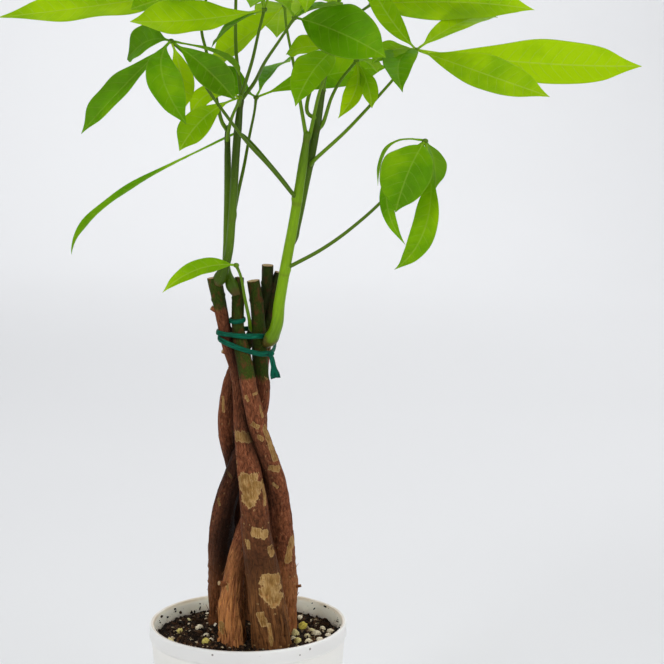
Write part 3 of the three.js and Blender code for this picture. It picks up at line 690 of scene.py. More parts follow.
def pot_shape(settings):
    """The pot's wall: a rounded profile of foot, wall, rim and inside, carried round the axis, and
    marked on its inside."""
    edge, floor, top = POT["edge"], POT["floor"], POT["height"]
    rim_foot, rim = top - POT["rim_height"], POT["rim_radius"]
    wall, mouth = rim - POT["rim_lip"], inside_radius(top)
    corners = [
        (2, 0), (POT["foot_radius"], 0), (wall, rim_foot - POT["rim_lip"]), (rim, rim_foot), (rim, top),
        (mouth + 0.9, top), (mouth, top - 4), (mouth, rim_foot), (inside_radius(floor), floor),
        (2, floor),
    ]
    profile = rounded(corners, (edge, 0.5, 0.5, edge, 0.5, 2.0, 1.5, 3.0), settings.ring_step / MM)
    radius, height = profile.T
    inner = smooth(inside_radius(height) + 0.6 * POT["wall"] - radius, -0.4, 0.4) * (height > 0.5 * floor)
    grid = lathe(profile, settings.columns)
    return closed_tube(grid, poles=((0, 0, 0), (0, 0, floor)), inner=inner[:, None, None])


# ---------------------------------------------------------------- soil

def ball(rings, columns):
    """A unit ball as a grid of rings between its poles: x = sin p cos a, y = sin p sin a, z = cos p."""
    polar = np.linspace(0, math.pi, rings + 2)[1:-1, None]
    angle = around(columns)
    return np.stack([np.sin(polar) * np.cos(angle), np.sin(polar) * np.sin(angle),
                     np.cos(polar) + 0 * angle], -1)


def scattered(base, places, sizes, random, jitter, tint, flat=True):
    """Many copies of a closed base shape in one surface. Each is stretched by its three sizes, dented
    by random numbers, turned by a random unit quaternion and put in its place."""
    count, corners = len(places), len(base["points"])
    spin = unit(random.normal(size=(count, 4)))
    w, x, y, z = spin.T
    turn = np.stack([
        np.stack([1 - 2 * (y * y + z * z), 2 * (x * y - z * w), 2 * (x * z + y * w)], -1),
        np.stack([2 * (x * y + z * w), 1 - 2 * (x * x + z * z), 2 * (y * z - x * w)], -1),
        np.stack([2 * (x * z - y * w), 2 * (y * z + x * w), 1 - 2 * (x * x + y * y)], -1),
    ], 1)
    dents = 1 + jitter * random.uniform(-1, 1, size=(count, corners, 1))
    local = base["points"][None] * sizes[:, None, :] * dents
    points = np.einsum("nij,nkj->nki", turn, local) + places[:, None, :]
    shift = (np.arange(count) * corners)[:, None, None]
    return {"points": points.reshape(-1, 3), "quads": (base["quads"][None] + shift).reshape(-1, 4),
            "triangles": (base["triangles"][None] + shift).reshape(-1, 3), "material": 0, "flat": flat,
            "values": {"tint": np.repeat(tint, corners, axis=0)}}


def soil_surface(columns, rings):
    """The body of soil: a lathe of bottom, side and top whose top follows the waves of the soil's
    height with finer random lumps."""
    bottom = POT["floor"] + SOIL_GAP
    low = inside_radius(bottom + POT["edge"]) - POT["edge"] - SOIL_GAP
    brim = inside_radius(SOIL_LEVEL) - SOIL_GAP
    side = [(inside_radius(height) - SOIL_GAP, height) for height in (30, 80)]
    upper = [(brim * share, SOIL_LEVEL) for share in np.linspace(1, 0.01, rings)]
    profile = np.array([(3, bottom), (low, bottom), *side, *upper])
    grid = lathe(profile, columns)
    top = grid[-rings:]
    rough = 1.5 * rough_noise(top * (1, 1, 0), (4.5, 4.5, 1), 4, seed=3)
    top[..., 2] = soil_height(top[..., 0], top[..., 1]) + rough - 0.3
    return closed_tube(grid, tint=np.array([[(0.016, 0.009, 0.005, 1)]]))


def brown(random, count, low, high):
    """Dark browns: one random share between two colours for each piece."""
    share = random.uniform(0, 1, (count, 1)) ** 2
    return np.hstack([np.array(low) + share * (np.array(high) - np.array(low)), np.ones((count, 1))])


def on_soil(random, count, margin, sink):
    """Places spread evenly over the soil's top: radius by the square root of a random share."""
    reach = np.sqrt(random.uniform(0, 1, count)) * (inside_radius(SOIL_LEVEL) - margin)
    angle = random.uniform(0, 2 * math.pi, count)
    x, y = reach * np.cos(angle), reach * np.sin(angle)
    return np.stack([x, y, soil_height(x, y) + sink], -1)


def soil_shapes(settings):
    """The body of soil, dark crumbs, chips of bark, mineral grains, the pebbles and the crumbs that
    stick to the wall."""
    random = np.random.default_rng(settings.seed)
    crumb, stone = closed_tube(ball(2, 5)), closed_tube(ball(5, 9))
    shapes = [soil_surface(180, 70)]

    def uneven(count, low, high):
        """A random size for each of a number of pieces."""
        return random.uniform(low, high, (count, 1))

    def strew(count, margin, sink, size, jitter, darkest, lightest):
        """Spreads pieces of the given sizes and colours over the soil's top."""
        shapes.append(scattered(crumb, on_soil(random, count, margin, sink), size, random, jitter,
                                brown(random, count, darkest, lightest)))

    count = settings.crumbs
    size = uneven(count, 0.7, 2.3) * random.uniform(0.7, 1.2, (count, 3))
    strew(count, 2.2, 0.4, size, 0.25, (0.008, 0.005, 0.003), (0.055, 0.03, 0.017))
    count //= 6
    size = uneven(count, 0.8, 1.3) * (3.2, 1.1, 0.7)
    strew(count, 4, 0.9, size, 0.25, (0.03, 0.016, 0.009), (0.13, 0.07, 0.035))
    count //= 2
    size = uneven(count, 0.7, 1.5) * random.uniform(0.8, 1.2, (count, 3))
    strew(count, 3, 1.0, size, 0.2, (0.28, 0.22, 0.12), (0.75, 0.68, 0.52))

    x, y, radius, yellow = np.array(PEBBLES).T[..., None]
    place = np.hstack([x, y, soil_height(x, y) + 0.45 * radius])
    pale, ochre = np.array((0.86, 0.83, 0.7, 1)), np.array((0.68, 0.62, 0.12, 1))
    size = radius * random.uniform(0.68, 1.12, (len(place), 3))
    shapes.append(scattered(stone, place, size, random, 0.11, pale + yellow * (ochre - pale), flat=False))

    count = settings.wall_crumbs
    height = SOIL_LEVEL + 0.5 + 9.5 * random.uniform(0, 1, count) ** 3.6
    angle = random.uniform(0, 2 * math.pi, count)
    reach = inside_radius(height) - 0.25
    place = np.stack([reach * np.cos(angle), reach * np.sin(angle), height], -1)
    size = (0.22 + uneven(count, 0, 1) ** 3) * random.uniform(0.5, 1.4, (count, 3))
    shapes.append(scattered(crumb, place, size, random, 0.25,
                            brown(random, count, (0.008, 0.005, 0.003), (0.05, 0.026, 0.014))))
    return shapes


# ---------------------------------------------------------------- trunks

def bare_field(name, x, z, grain, facing):
    """How far inside a peeled place each point lies, above 0 where the outer bark is gone. In front it
    is 1 less the distance to the nearest listed stroke over its half width, where the distance is the
    fourth root of the summed fourth powers of the ways across and beyond the stroke, roughened by
    noise along the grain; on the sides and behind it is noise alone."""
    front = np.full(x.shape, -1.0)
    for xa, za, xb, zb, half in PEELED[name]:
        run = np.array([xb - xa, zb - za], float)
        whole = max(np.hypot(*run), 0.1)
        ahead = ((x - xa) * run[0] + (z - za) * run[1]) / whole
        aside = ((x - xa) * run[1] - (z - za) * run[0]) / whole
        beyond = np.abs(ahead - whole / 2) - whole / 2
        gap = (np.clip(beyond, 0, None) ** 4 + aside ** 4) ** 0.25
        front = np.maximum(front, 1 - gap / half)
    front = front + 0.26 * noise(grain, (1.9, 1.9, 2.6), 5) + 0.2 * noise(grain, (0.8, 0.8, 1.2), 6)
    behind = 2.6 * (noise(grain, (6.5, 6.5, 15), 11) - 0.42) + 0.3 * noise(grain, (1.7, 1.7, 3.2), 12)
    seen = smooth(facing, -0.1, 0.25)
    return np.clip(front * seen + behind * (1 - seen) - 0.4 * seen * (1 - seen), -1, 1)


def painted_shade_field(name, place):
    """How deep in the braid's painted shade each point lies, from 0 to 1: 1 near the surface of another
    trunk at its height and 0 away from it, by the distances of the trunk low down and of all trunks high up."""
    height = place[..., 2]
    upper = smooth(height, *SHADE_CHANGE)
    near, far = (low + (high - low) * upper
                 for low, high in zip(SHADE_REACH[name], UPPER_SHADE_REACH))
    tuck = np.zeros(height.shape)
    for other, stem in TRUNKS.items():
        if other != name:
            row = np.array(sorted(stem, key=lambda point: point[2]), float)
            x, y, thick = (np.interp(height, row[:, 2], row[:, k]) for k in (0, 1, 3))
            gap = np.hypot(place[..., 0] - x, place[..., 1] - y) - thick
            tuck = np.maximum(tuck, 1 - smooth(gap, near, far))
    return tuck


def low_down(centre, end):
    """For each ring, 1 below the two heights, 0 above them and smooth between."""
    return (1 - smooth(centre[:, 2], *end))[:, None]


def bark_reach(radius, angle, walked, offset, grain, marks, torn):
    """How far the bark reaches from the middle: the radius swollen by three ridges and slow flutes,
    with stretched random fibres and cracks, deeper where it is torn, sunk and edged where it is bare,
    with a ring wherever an old leaf grew."""
    young, open_place = smooth(marks["green"], -0.5, 0.5), smooth(marks["bare"], -0.12, 0.12)
    coarse = (1 - 0.8 * young) * (1 - 0.88 * open_place) * smooth(radius, 2, 9) ** 0.5
    crack = bell(noise(grain, (2.6, 2.6, 17), 31), 0.09)
    reach = radius * (1 + 0.035 * np.sin(3 * angle + walked / 15) + 0.05 * noise(grain, (7, 7, 60), 41))
    reach = reach + coarse * (0.75 * rough_noise(grain, (3, 3, 15), 3, 51) - 0.5 * crack)
    reach = reach + torn * rough_noise(grain, (1.3, 1.3, 11), 3, 53)
    reach = reach - 1.1 * torn * bell(noise(grain, (1.9, 1.9, 22), 55), 0.07)
    reach = reach - 0.4 * open_place + 0.25 * bell(marks["bare"] + 0.22, 0.16) * (1 - young)
    reach = reach + 0.12 * young * rough_noise(grain, (2, 2, 6), 2, 61)
    leaf_ring = (walked + 1.2 * np.cos(angle + offset)) % LEAF_RINGS - 13
    return reach + (0.16 + 0.3 * young) * bell(leaf_ring, 0.9)


def trunk_shapes(name, settings):
    """A trunk: rings of bark along the route, marked by where it is bare, green, fibrous and dull, and
    darkened with painted shade near another trunk, closed by a cut across its top with the marks of
    the saw, and with torn strips low down and its cut twigs."""
    route, offset = np.array(TRUNKS[name], float), 37.0 * int(name[-1])
    columns = int(round(settings.trunk_columns * math.sqrt(route[:, 3].max() / 13) / 2)) * 2
    centre, along, walked, radius = stem_path(route, settings.trunk_step / MM)
    angle = around(columns)[None]
    ring = ring_directions(angle, *across(along, (0, 1, 0)))
    grain = grain_round(8, angle, walked + offset)
    place = centre[:, None] + ring * radius[..., None]
    level, width = GREEN_FROM[name]
    green = np.clip((place[..., 2] - level) / width + 0.9 * noise(grain, (3, 3, 9), 21), -1, 1)
    bare = bare_field(name, place[..., 0], place[..., 2], grain, -ring[..., 1])
    bare = np.where(green > 0.3, np.minimum(bare, -0.6), bare)
    worn = FIBROUS[name]
    fibrous = worn * low_down(centre, FIBROUS_END) + 0.3 * noise(grain, (6, 6, 14), 57) * worn
    # tuck: the bark is darkened with painted shade near another trunk
    marks = {"bare": bare, "green": green, "fibrous": fibrous, "tuck": painted_shade_field(name, place),
             "dull": DULL[name] * low_down(centre, DULL_END) + 0 * bare, "cut": 0 * bare}
    torn = (0.55 + 0.8 * fibrous) * low_down(centre, TORN_END)
    reach = bark_reach(radius, angle, walked, offset, grain, marks, torn)

    share = np.array([0.1, 0.26, 0.42, 0.58, 0.74, 0.87, 0.96])[:, None]
    top = centre[0] + ring[:1] * (reach[:1] * share)[..., None]
    saw_marks = 0.3 * (1 - share ** 2) + 0.28 * noise(top, (1.3, 1.3, 1.3), 71) * (share < 0.9)
    top = top - along[0] * saw_marks[..., None]
    grid = np.concatenate([top, centre[:, None] + ring * reach[..., None]])
    cap_grain = grain_round(8 * share, angle, offset + 0 * share)
    on_cap = {"bare": -1, "green": -1, "cut": 1}
    values = {key: np.concatenate([np.full((len(share), columns), on_cap.get(key, 0)), mark])[..., None]
              for key, mark in marks.items()}
    shapes = [closed_tube(grid, grain=np.concatenate([cap_grain, grain]), **values)]

    random = np.random.default_rng(int(name[-1]))
    lowest, highest = SHRED_HEIGHTS
    rows = np.flatnonzero((centre[:, 2] > lowest) & (centre[:, 2] < highest))
    chosen = len(rows) * (1 - random.random(settings.shreds) ** 1.6)
    for row in rows[chosen.astype(int).clip(0, len(rows) - 1)]:
        column, size = random.integers(columns), random.uniform((3.5, 1.0, 0.6), (10.0, 2.6, 3.0))
        outward = ring[row, column]
        run = along[row] * random.choice([-1, 1])
        run = unit(run + 0.25 * random.uniform(-1, 1) * np.cross(along[row], outward))
        base = centre[row] + outward * reach[row, column]
        # Each torn strip takes the painted shade of the place where it is torn
        shapes.append(shred_shape(base, run, outward, size, offset, fibrous=worn,
                                  dull=DULL[name], tuck=float(marks["tuck"][row, column])))
    for owner, start, end, thick in STUBS:
        if owner == name:
            shapes.append(stub_shape(np.array(start, float), np.array(end, float), thick, offset))
    return shapes


def shred_shape(base, run, outward, size, offset, **marks):
    """A torn strip of bark, a flat tube: its middle is base + run * length * t + outward * (lift * t^2
    - 0.3), its half width falls as (1 - 0.92 t)^0.7 and its thickness evenly."""
    length, width, lift = size
    t, angle = np.linspace(0, 1, 8)[:, None], around(6)[None]
    path = base + run * length * t + outward * (lift * t ** 2 - 0.3)
    wide = width / 2 * (1 - 0.92 * t) ** 0.7 * np.cos(angle)
    thick = 0.24 * (1 - 0.6 * t) * np.sin(angle)
    grid = path[:, None] + wide[..., None] * np.cross(run, outward) + thick[..., None] * outward
    grain = np.stack([wide + 40, thick, length * t + offset + 0 * angle], -1)
    return closed_tube(grid, grain=grain, bare=-1.0, green=-1.0, cut=0.0, **marks)


def stub_shape(start, end, radius, offset):
    """A cut side twig: rings along a straight line that narrow a little, with a flat bare end."""
    rows, columns = 12, 18
    share = np.linspace(0, 1, rows)[:, None]
    along = unit(end - start)[None].repeat(rows, 0)
    angle = around(columns)[None]
    ring = ring_directions(angle, *across(along, (0, 0, 1)))
    grain = grain_round(3, angle, 12 * share + offset)
    reach = radius * (1.25 - 0.3 * share) * (1 + 0.12 * noise(grain, (1.2, 1.2, 3), 81))
    side_wall = (start + share * (end - start))[:, None] + ring * reach[..., None]
    face = end + ring[-1:] * (reach[-1:] * np.array([0.85, 0.4])[:, None])[..., None]
    on_face = np.r_[np.zeros(rows), np.ones(2)][:, None, None]
    return closed_tube(
        np.concatenate([side_wall, face]), grain=np.concatenate([grain, grain[-1:].repeat(2, 0)]),
        cut=on_face, bare=-1.0, green=-1.0, fibrous=0.3, tuck=0.0, dull=0.0)


# ---------------------------------------------------------------- shoots and tie

def shoot_shape(name, settings):
    """A young green stem: rings of the listed radius along the route with five shallow grooves, a
    swelling and a scar where each leaf stalk leaves it, a brown foot and a rounded end."""
    route = np.array(SHOOTS[name], float)
    length = route_length(route)
    centre, along, walked, radius = stem_path(route, SHOOT_STEP)
    angle = around(settings.shoot_columns)[None]
    ring = ring_directions(angle, *across(along, (0, 1, 0)))
    grain = grain_round(3, angle, walked + 11 * int(name[-1]))
    reach = radius * (1 + 0.02 * np.sin(5 * angle + walked / 40) + 0.03 * noise(grain, (2, 2, 20), 91))
    scar = np.zeros(walked.shape)
    for leaf in LEAVES.values():
        joint = np.array(leaf["stalk"][0], float)
        gap = np.linalg.norm(joint - centre, axis=-1)
        step = gap.argmin()
        if gap[step] < 6:
            facing = smooth(ring @ unit(joint - centre[step] + (0, 0, 0.01)), -1, 1)
            reach = reach + 0.55 * bell(walked - walked[step], 2.6) * facing
            scar = np.maximum(scar, 0.5 * bell(walked - walked[step] + 3.2, 0.5))
    brown_to = 11 if name == "shoot_3" else 7
    foot = 1 - smooth(walked + 2 * noise(grain, (2, 2, 3), 93), brown_to - 5, brown_to)
    scar = np.maximum(scar, 0.85 * foot)
    reach = reach + 0.9 * bell(walked - 7, 4.5)
    reach = reach * (1 - 0.25 * smooth(walked, length - 22, length - 2)
                     - 0.65 * smooth(walked, length - 2.2, length))
    tone = SHOOT_TONE_AND_LIGHT[name] - 0.45 * smooth(centre[:, 2], 385, 440)[:, None]
    tone = tone - 0.3 * (1 - smooth(walked, 8, 40))
    return closed_tube(centre[:, None] + ring * reach[..., None], grain=grain, tone=tone[..., None],
                       scar=scar[..., None])


def band(centre, along, outward, half_height, half_thickness, columns):
    """A flattened strand: each ring is an oval, half_height |cos a|^0.8 across and half_thickness
    |sin a|^0.8 through, with nine shallow ridges, set square to the path with its thin way outward."""
    tall, thin = across(along, outward)
    angle = around(columns)[None]
    ridge = 1 + 0.05 * np.sin(9 * angle)
    wide, deep = (np.sign(wave) * np.abs(wave) ** 0.8 * half * ridge for wave, half in
                  ((np.cos(angle), half_height), (np.sin(angle), half_thickness)))
    return centre[:, None] + wide[..., None] * tall[:, None] + deep[..., None] * thin[:, None]


def ring_path(points):
    """The directions of a path whose last point joins the first, from the neighbours of each point."""
    return unit(np.roll(points, -1, 0) - np.roll(points, 1, 0))


def strand_grain(columns, walked):
    """Grain that follows a strand of twine."""
    return grain_round(1.5, around(columns)[None], np.asarray(walked)[:, None])


def on_line(values):
    """The values as places on the x axis."""
    return np.stack([values, 0 * values, 0 * values], -1)


def tie_shapes(settings):
    """The twine in two turns, its knot as a trefoil and its tail, flattened and frayed at the end."""
    rows, columns = 420, settings.twine_columns
    centre, along, place, walked = through(TWINE_ROUTE, rows)
    outward = unit((centre - (-1, 2, 0)) * (1, 1, 0))
    tail = smooth(place, len(TWINE_ROUTE) - 4.2, len(TWINE_ROUTE) - 2.4)[:, None]
    outward = unit(outward * (1 - tail) + np.array((0.0, -1.0, 0.0)) * tail)
    centre = centre - outward * (TWINE_RADIUS - TWINE_FLATNESS) * (1 - tail)
    lean = 0.25 * noise(on_line(walked), (14, 1, 1), 7)[:, None]
    outward = unit(outward + lean * np.cross(along, outward))
    flare = smooth(walked, walked[-1] - 8.5, walked[-1] - 1)[:, None]
    half_height = 1.2 * TWINE_RADIUS * (1 + 0.08 * np.sin(walked / 5)[:, None]) + flare * 1.7
    grid = band(centre, along, outward, half_height, TWINE_FLATNESS * (1 - 0.5 * flare), columns)
    fray = 0.9 * noise(on_line(3 * around(columns)), (1, 1, 1), 9)[None]
    fray = fray * flare * smooth(walked, walked[-1] - 3, walked[-1])[:, None]
    grid[..., 2] += fray
    t = np.linspace(0, 2 * math.pi, 120, endpoint=False)
    trefoil = np.stack([np.sin(t) + 2 * np.sin(2 * t), 1.25 * -np.sin(3 * t),
                        np.cos(t) - 2 * np.cos(2 * t)], -1)
    knot = trefoil * KNOT["scale"] + KNOT["centre"]
    knot_grid = band(knot, ring_path(knot), unit(knot - KNOT["centre"]), 1.05, 0.75, columns)
    return [closed_tube(grid, grain=strand_grain(columns, walked)),
            closed_loop(knot_grid, grain=strand_grain(columns, t * 4))]


def upper_turn_shape(settings):
    """One loose turn round the second trunk: a flattened strand on a circle that tips a little."""
    columns = settings.twine_columns
    t = np.linspace(0, 2 * math.pi, 90, endpoint=False)
    reach = UPPER_TURN["radius"] - 0.75
    centre = np.stack([reach * np.cos(t), reach * np.sin(t), 0.5 * np.sin(t + 0.6)], -1)
    grid = band(centre + UPPER_TURN["centre"], ring_path(centre), unit(centre * (1, 1, 0)),
                TWINE_RADIUS + 0.1, 0.7, columns)
    return closed_loop(grid, grain=strand_grain(columns, t * 5))


# ---------------------------------------------------------------- leaves

# Where the points of half a leaflet lie, from its midrib to its margin.
COLUMN_SPREAD = np.array([0.035, 0.08, 0.15, 0.26, 0.4, 0.56, 0.72, 0.86, 0.95, 1.0])
BLADE_FOLD = math.radians(17)  # how far each half rises from the midrib
BLADE_START = 0.07  # share of a leaflet's length that is its own short stalk


def blade_shape(hub, shape, tone, seed, settings):
    """One leaflet as a thin closed skin. The midrib is a parabola from the hub to the tip; half the
    width is w/2 s^p (1 - s) over its greatest value, with s the share past the stalk and p set by the
    widest place, drawn in a little towards the tip. Each half rises from the midrib, the margin waves,
    the skin swells between the side veins, and a rib thickens the underside."""
    heading, rise = math.radians(shape["heading"]), math.radians(shape["rise"])
    length = shape["length"]
    flat = np.array([math.cos(heading), math.sin(heading), 0])
    upright = np.array([0.0, 0.0, 1.0])
    axis = flat * math.cos(rise) + upright * math.sin(rise)
    up = upright * math.cos(rise) - flat * math.sin(rise)
    side = np.cross(axis, up)
    bender = hub + length * (axis * shape["bend"] + 2 * shape["arch"] * up + 2 * shape["sway"] * side)
    tip = hub + axis * length
    rows = int(np.clip(length / (settings.blade_step / MM), 20, 76))
    t = np.linspace(0, 1, rows)[:, None]
    centre = (1 - t) ** 2 * hub + 2 * t * (1 - t) * bender + t ** 2 * tip
    along = unit((1 - t) * (bender - hub) + t * (tip - bender))
    turn = np.radians(shape["roll"] + shape["twist"] * (t - 0.5))
    face = up * np.cos(turn) + side * np.sin(turn)
    face = unit(face - (face * along).sum(-1, keepdims=True) * along)
    out = np.cross(along, face)
    s = np.clip((t - BLADE_START) / (1 - BLADE_START), 0, None)
    widest = shape["widest"]
    power = widest / (1 - widest)
    half = shape["width"] / 2 * s ** power * (1 - s) / (widest ** power * (1 - widest))
    half = half * (1 - 0.3 * smooth(s, 0.82, 0.97))
    half = np.maximum(half, 0.12 + 0.63 * (1 - smooth(t, 0.85, 1.0)))
    c = np.r_[-COLUMN_SPREAD[::-1], 0, COLUMN_SPREAD][None]
    x = c * half
    lift = (np.sqrt(c * c + 0.003) - 0.055) * half * math.sin(BLADE_FOLD)
    lift = lift + 0.035 * half * np.abs(c) * np.sin(16.8 * t + c)
    phase = 2.4 * seed
    lift = lift + 0.055 * half * np.abs(c) ** 2.5 * np.sin(2 * math.pi * 3.1 * t + phase + 1.9 * np.sign(c))
    run = t * length - VEIN_LEAN * np.abs(x) - VEIN_CURVE * x * x
    blade_part = smooth(t, 0.06, 0.16) * smooth(1 - t, 0.0, 0.12)
    quilt = 0.24 * np.cos(2 * math.pi * run / settings.vein_spacing * MM) * (1 - np.abs(c) ** 3)
    lift = lift + quilt * smooth(np.abs(c), 0.03, 0.3) * blade_part
    thick = (0.15 + 0.55 * (1 - smooth(t, 0.03, 0.12))) * np.sqrt(np.clip(1 - c ** 4, 0, None))
    rib = 0.7 * (1 - t) ** 0.7 * smooth(t, 0.03, 0.1) * bell(x, 0.75)
    groove = 0.12 * smooth(t, 0.03, 0.1) * bell(x, 0.5)
    flat_point = centre[:, None] + (x * math.cos(BLADE_FOLD))[..., None] * out[:, None]
    upper = flat_point + (lift + thick - groove)[..., None] * face[:, None]
    lower = flat_point + (lift - thick - rib)[..., None] * face[:, None]
    grid = np.concatenate([upper, lower[:, -2:0:-1]], 1)
    x_ring = np.concatenate([x, x[:, -2:0:-1]], 1)
    blade = np.stack([x_ring, t * length + 0 * x_ring, half + 0 * x_ring], -1)
    under = np.concatenate([0 * x, 1 + 0 * x[:, -2:0:-1]], 1)
    return closed_tube(grid, blade=blade, tone=tone, under=under[..., None])


def stalk_shapes(points, tone, seed):
    """A leaf stalk: round rings that taper along the route from inside the nearest stem and swell at
    both ends, and a small ball at the hub where the leaflets spread."""
    route = np.asarray(points, float)
    stems = np.vstack([through(stem, 200)[0] for stem in (*SHOOTS.values(), TRUNKS["trunk_3"])])
    near = stems[np.linalg.norm(stems - route[0], axis=1).argmin()]
    if np.linalg.norm(near - route[0]) < 9:
        route = np.vstack([near - (0, 0, 3), route])
    centre, along, _, walked = through(route, max(10, int(route_length(route) / STALK_STEP)))
    walked = walked[:, None]
    heading = route[-1] - route[0]
    reference = np.cross(heading, (0, 0, 1)) if np.hypot(*heading[:2]) > 1 else np.array((0, 1, 0))
    angle = around(14)[None]
    ring = ring_directions(angle, *across(along, unit(reference)))
    first, last = STALK_RADIUS
    reach = 0.85 * (first + (last - first) * (walked / walked[-1])) - 0.15
    reach = reach + 0.55 * np.exp(-walked / 3) + 0.45 * np.exp((walked - walked[-1]) / 3)
    grid = centre[:, None] + ring * reach[..., None]
    hub = ball(9, 16)
    return [closed_tube(grid, material=1, grain=grain_round(2, angle, walked + 17 * seed), tone=tone),
            closed_tube(hub * HUB_RADIUS * (1, 1, 0.85) + route[-1], material=1, grain=hub * 2, tone=tone)]


def leaf_shapes(name, settings):
    """A whole leaf: its stalk, its hub and its leaflets."""
    leaf = LEAVES[name]
    seed = int(name.split("_")[1])
    hub = np.array(leaf["stalk"][-1], float)
    shapes = stalk_shapes(leaf["stalk"], float(np.mean(LEAF_TONE_AND_LIGHT[name])) - 0.22, seed)
    for k, (shape, tone) in enumerate(zip(leaf["leaflets"], LEAF_TONE_AND_LIGHT[name])):
        shapes.append(blade_shape(hub, shape, tone, seed + 0.37 * k, settings))
    return shapes


# ---------------------------------------------------------------- colours and nodes

def colour(code):
    """A red-green-blue code such as 0xF2F0EA as linear light: c/12.92 below 0.04045, and above it
    ((c + 0.055)/1.055)^2.4."""
    parts = [((code >> shift) & 255) / 255 for shift in (16, 8, 0)]
    return tuple(c / 12.92 if c <= 0.04045 else ((c + 0.055) / 1.055) ** 2.4 for c in parts)


def tint_property(name, description, code):
    """A colour setting."""
    return FloatVectorProperty(name=name, description=description, subtype="COLOR", size=3, min=0, max=1,
                               default=colour(code))


def power_property(name, description, watts):
    """A light's strength."""
    return FloatProperty(name=name, description=description, default=watts, min=0)


def put(tree, kind, inputs=(), **settings):
    """Adds a node with its own settings. Each input takes a value or another node's output."""
    made = tree.nodes.new(kind)
    for name, value in settings.items():
        setattr(made, name, value)
    for key, value in dict(inputs).items():
        if isinstance(value, bpy.types.NodeSocket):
            tree.links.new(value, made.inputs[key])
        else:
            made.inputs[key].default_value = value
    return made


def maths(tree, operation, *values):
    """The result of a Math node."""
    return put(tree, "ShaderNodeMath", enumerate(values), operation=operation).outputs[0]


def times(tree, first, second):
    """Two values multiplied."""
    return maths(tree, "MULTIPLY", first, second)


def swayed(tree, value, pattern, amount):
    """A value moved up and down by a pattern: value + (pattern - 0.5) amount."""
    return maths(tree, "MULTIPLY_ADD", maths(tree, "SUBTRACT", pattern, 0.5), amount, value)


def scaled(tree, vector, factors):
    """A vector multiplied by a factor along each axis."""
    return put(tree, "ShaderNodeVectorMath", {0: vector, 1: factors}, operation="MULTIPLY").outputs[0]


def from_axis(tree, vector):
    """How far a vector reaches from the third axis."""
    level = scaled(tree, vector, (1.0, 1.0, 0.0))
    return put(tree, "ShaderNodeVectorMath", {0: level}, operation="LENGTH").outputs["Value"]


def ranged(tree, value, low, high, to_low=0.0, to_high=1.0):
    """A value carried smoothly from one range to another and held at its ends."""
    inputs = {"Value": value, "From Min": low, "From Max": high, "To Min": to_low, "To Max": to_high}
    return put(tree, "ShaderNodeMapRange", inputs, interpolation_type="SMOOTHSTEP").outputs[0]


def opaque(shade):
    """A colour setting with full opacity; a node's output stays as it is."""
    return shade if isinstance(shade, bpy.types.NodeSocket) else (*shade, 1.0)


def mixed(tree, share, first, second, blend_type="MIX"):
    """Two colours mixed."""
    inputs = {0: share, 6: opaque(first), 7: opaque(second)}
    return put(tree, "ShaderNodeMix", inputs, data_type="RGBA", blend_type=blend_type).outputs[2]


def ramp(tree, value, *stops):
    """Colours spread along a value: (place, colour) stops in rising order."""
    made = put(tree, "ShaderNodeValToRGB", {0: value})
    elements = made.color_ramp.elements
    elements[0].position, elements[-1].position = stops[0][0], stops[-1][0]
    elements[0].color, elements[-1].color = opaque(stops[0][1]), opaque(stops[-1][1])
    for place, shade in stops[1:-1]:
        elements.new(place).color = opaque(shade)
    return made.outputs["Color"]


def attribute(tree, name, output="Fac"):
    """A value that the piece's mesh keeps for each of its points."""
    return put(tree, "ShaderNodeAttribute", attribute_name=name, attribute_type="GEOMETRY").outputs[output]


def placed(tree):
    """Where a point lies on the object, in millimetres."""
    where = put(tree, "ShaderNodeTexCoord").outputs["Object"]
    return put(tree, "ShaderNodeMapping", {"Vector": where, "Scale": (1 / MM,) * 3}).outputs[0]


def noisy(tree, vector, scale, detail=3.0, roughness=0.55):
    """A noise texture's value."""
    inputs = {"Vector": vector, "Scale": scale, "Detail": detail, "Roughness": roughness}
    return put(tree, "ShaderNodeTexNoise", inputs).outputs[0]


def edge_distance(tree, vector, scale):
    """How far a point lies from the edge of its random cell."""
    inputs = {"Vector": vector, "Scale": scale}
    return put(tree, "ShaderNodeTexVoronoi", inputs, feature="DISTANCE_TO_EDGE").outputs["Distance"]


def bumped(tree, height, distance):
    """A normal bent by a height, whose full range is a distance in millimetres."""
    return put(tree, "ShaderNodeBump", {"Height": height, "Distance": distance * MM}).outputs[0]


def started_group(name, inputs, outputs):
    """A new node group with a vector input, further number inputs and value outputs."""
    tree = bpy.data.node_groups.new(name, "ShaderNodeTree")
    tree.interface.new_socket("Vector", in_out="INPUT", socket_type="NodeSocketVector")
    for label, value in inputs.items():
        made = tree.interface.new_socket(label, in_out="INPUT", socket_type="NodeSocketFloat")
        made.default_value = value
    for label in outputs:
        tree.interface.new_socket(label, in_out="OUTPUT", socket_type="NodeSocketFloat")
    return tree, put(tree, "NodeGroupInput").outputs, put(tree, "NodeGroupOutput").inputs


def stem_grain_group():
    """Stem Grain: fibres are a noise drawn out along the stem, blotches a slower round one."""
    tree, given, result = started_group("Stem Grain", {"Scale": 1.0, "Stretch": 6.0}, ("Fibres", "Blotches"))
    drawn = maths(tree, "DIVIDE", given["Scale"], given["Stretch"])
    factors = put(tree, "ShaderNodeCombineXYZ", {0: given["Scale"], 1: given["Scale"], 2: drawn}).outputs[0]
    fibres = noisy(tree, scaled(tree, given["Vector"], factors), 1.0, 6, 0.6)
    tree.links.new(fibres, result["Fibres"])
    tree.links.new(noisy(tree, given["Vector"], 0.14, 4, 0.6), result["Blotches"])
    return tree


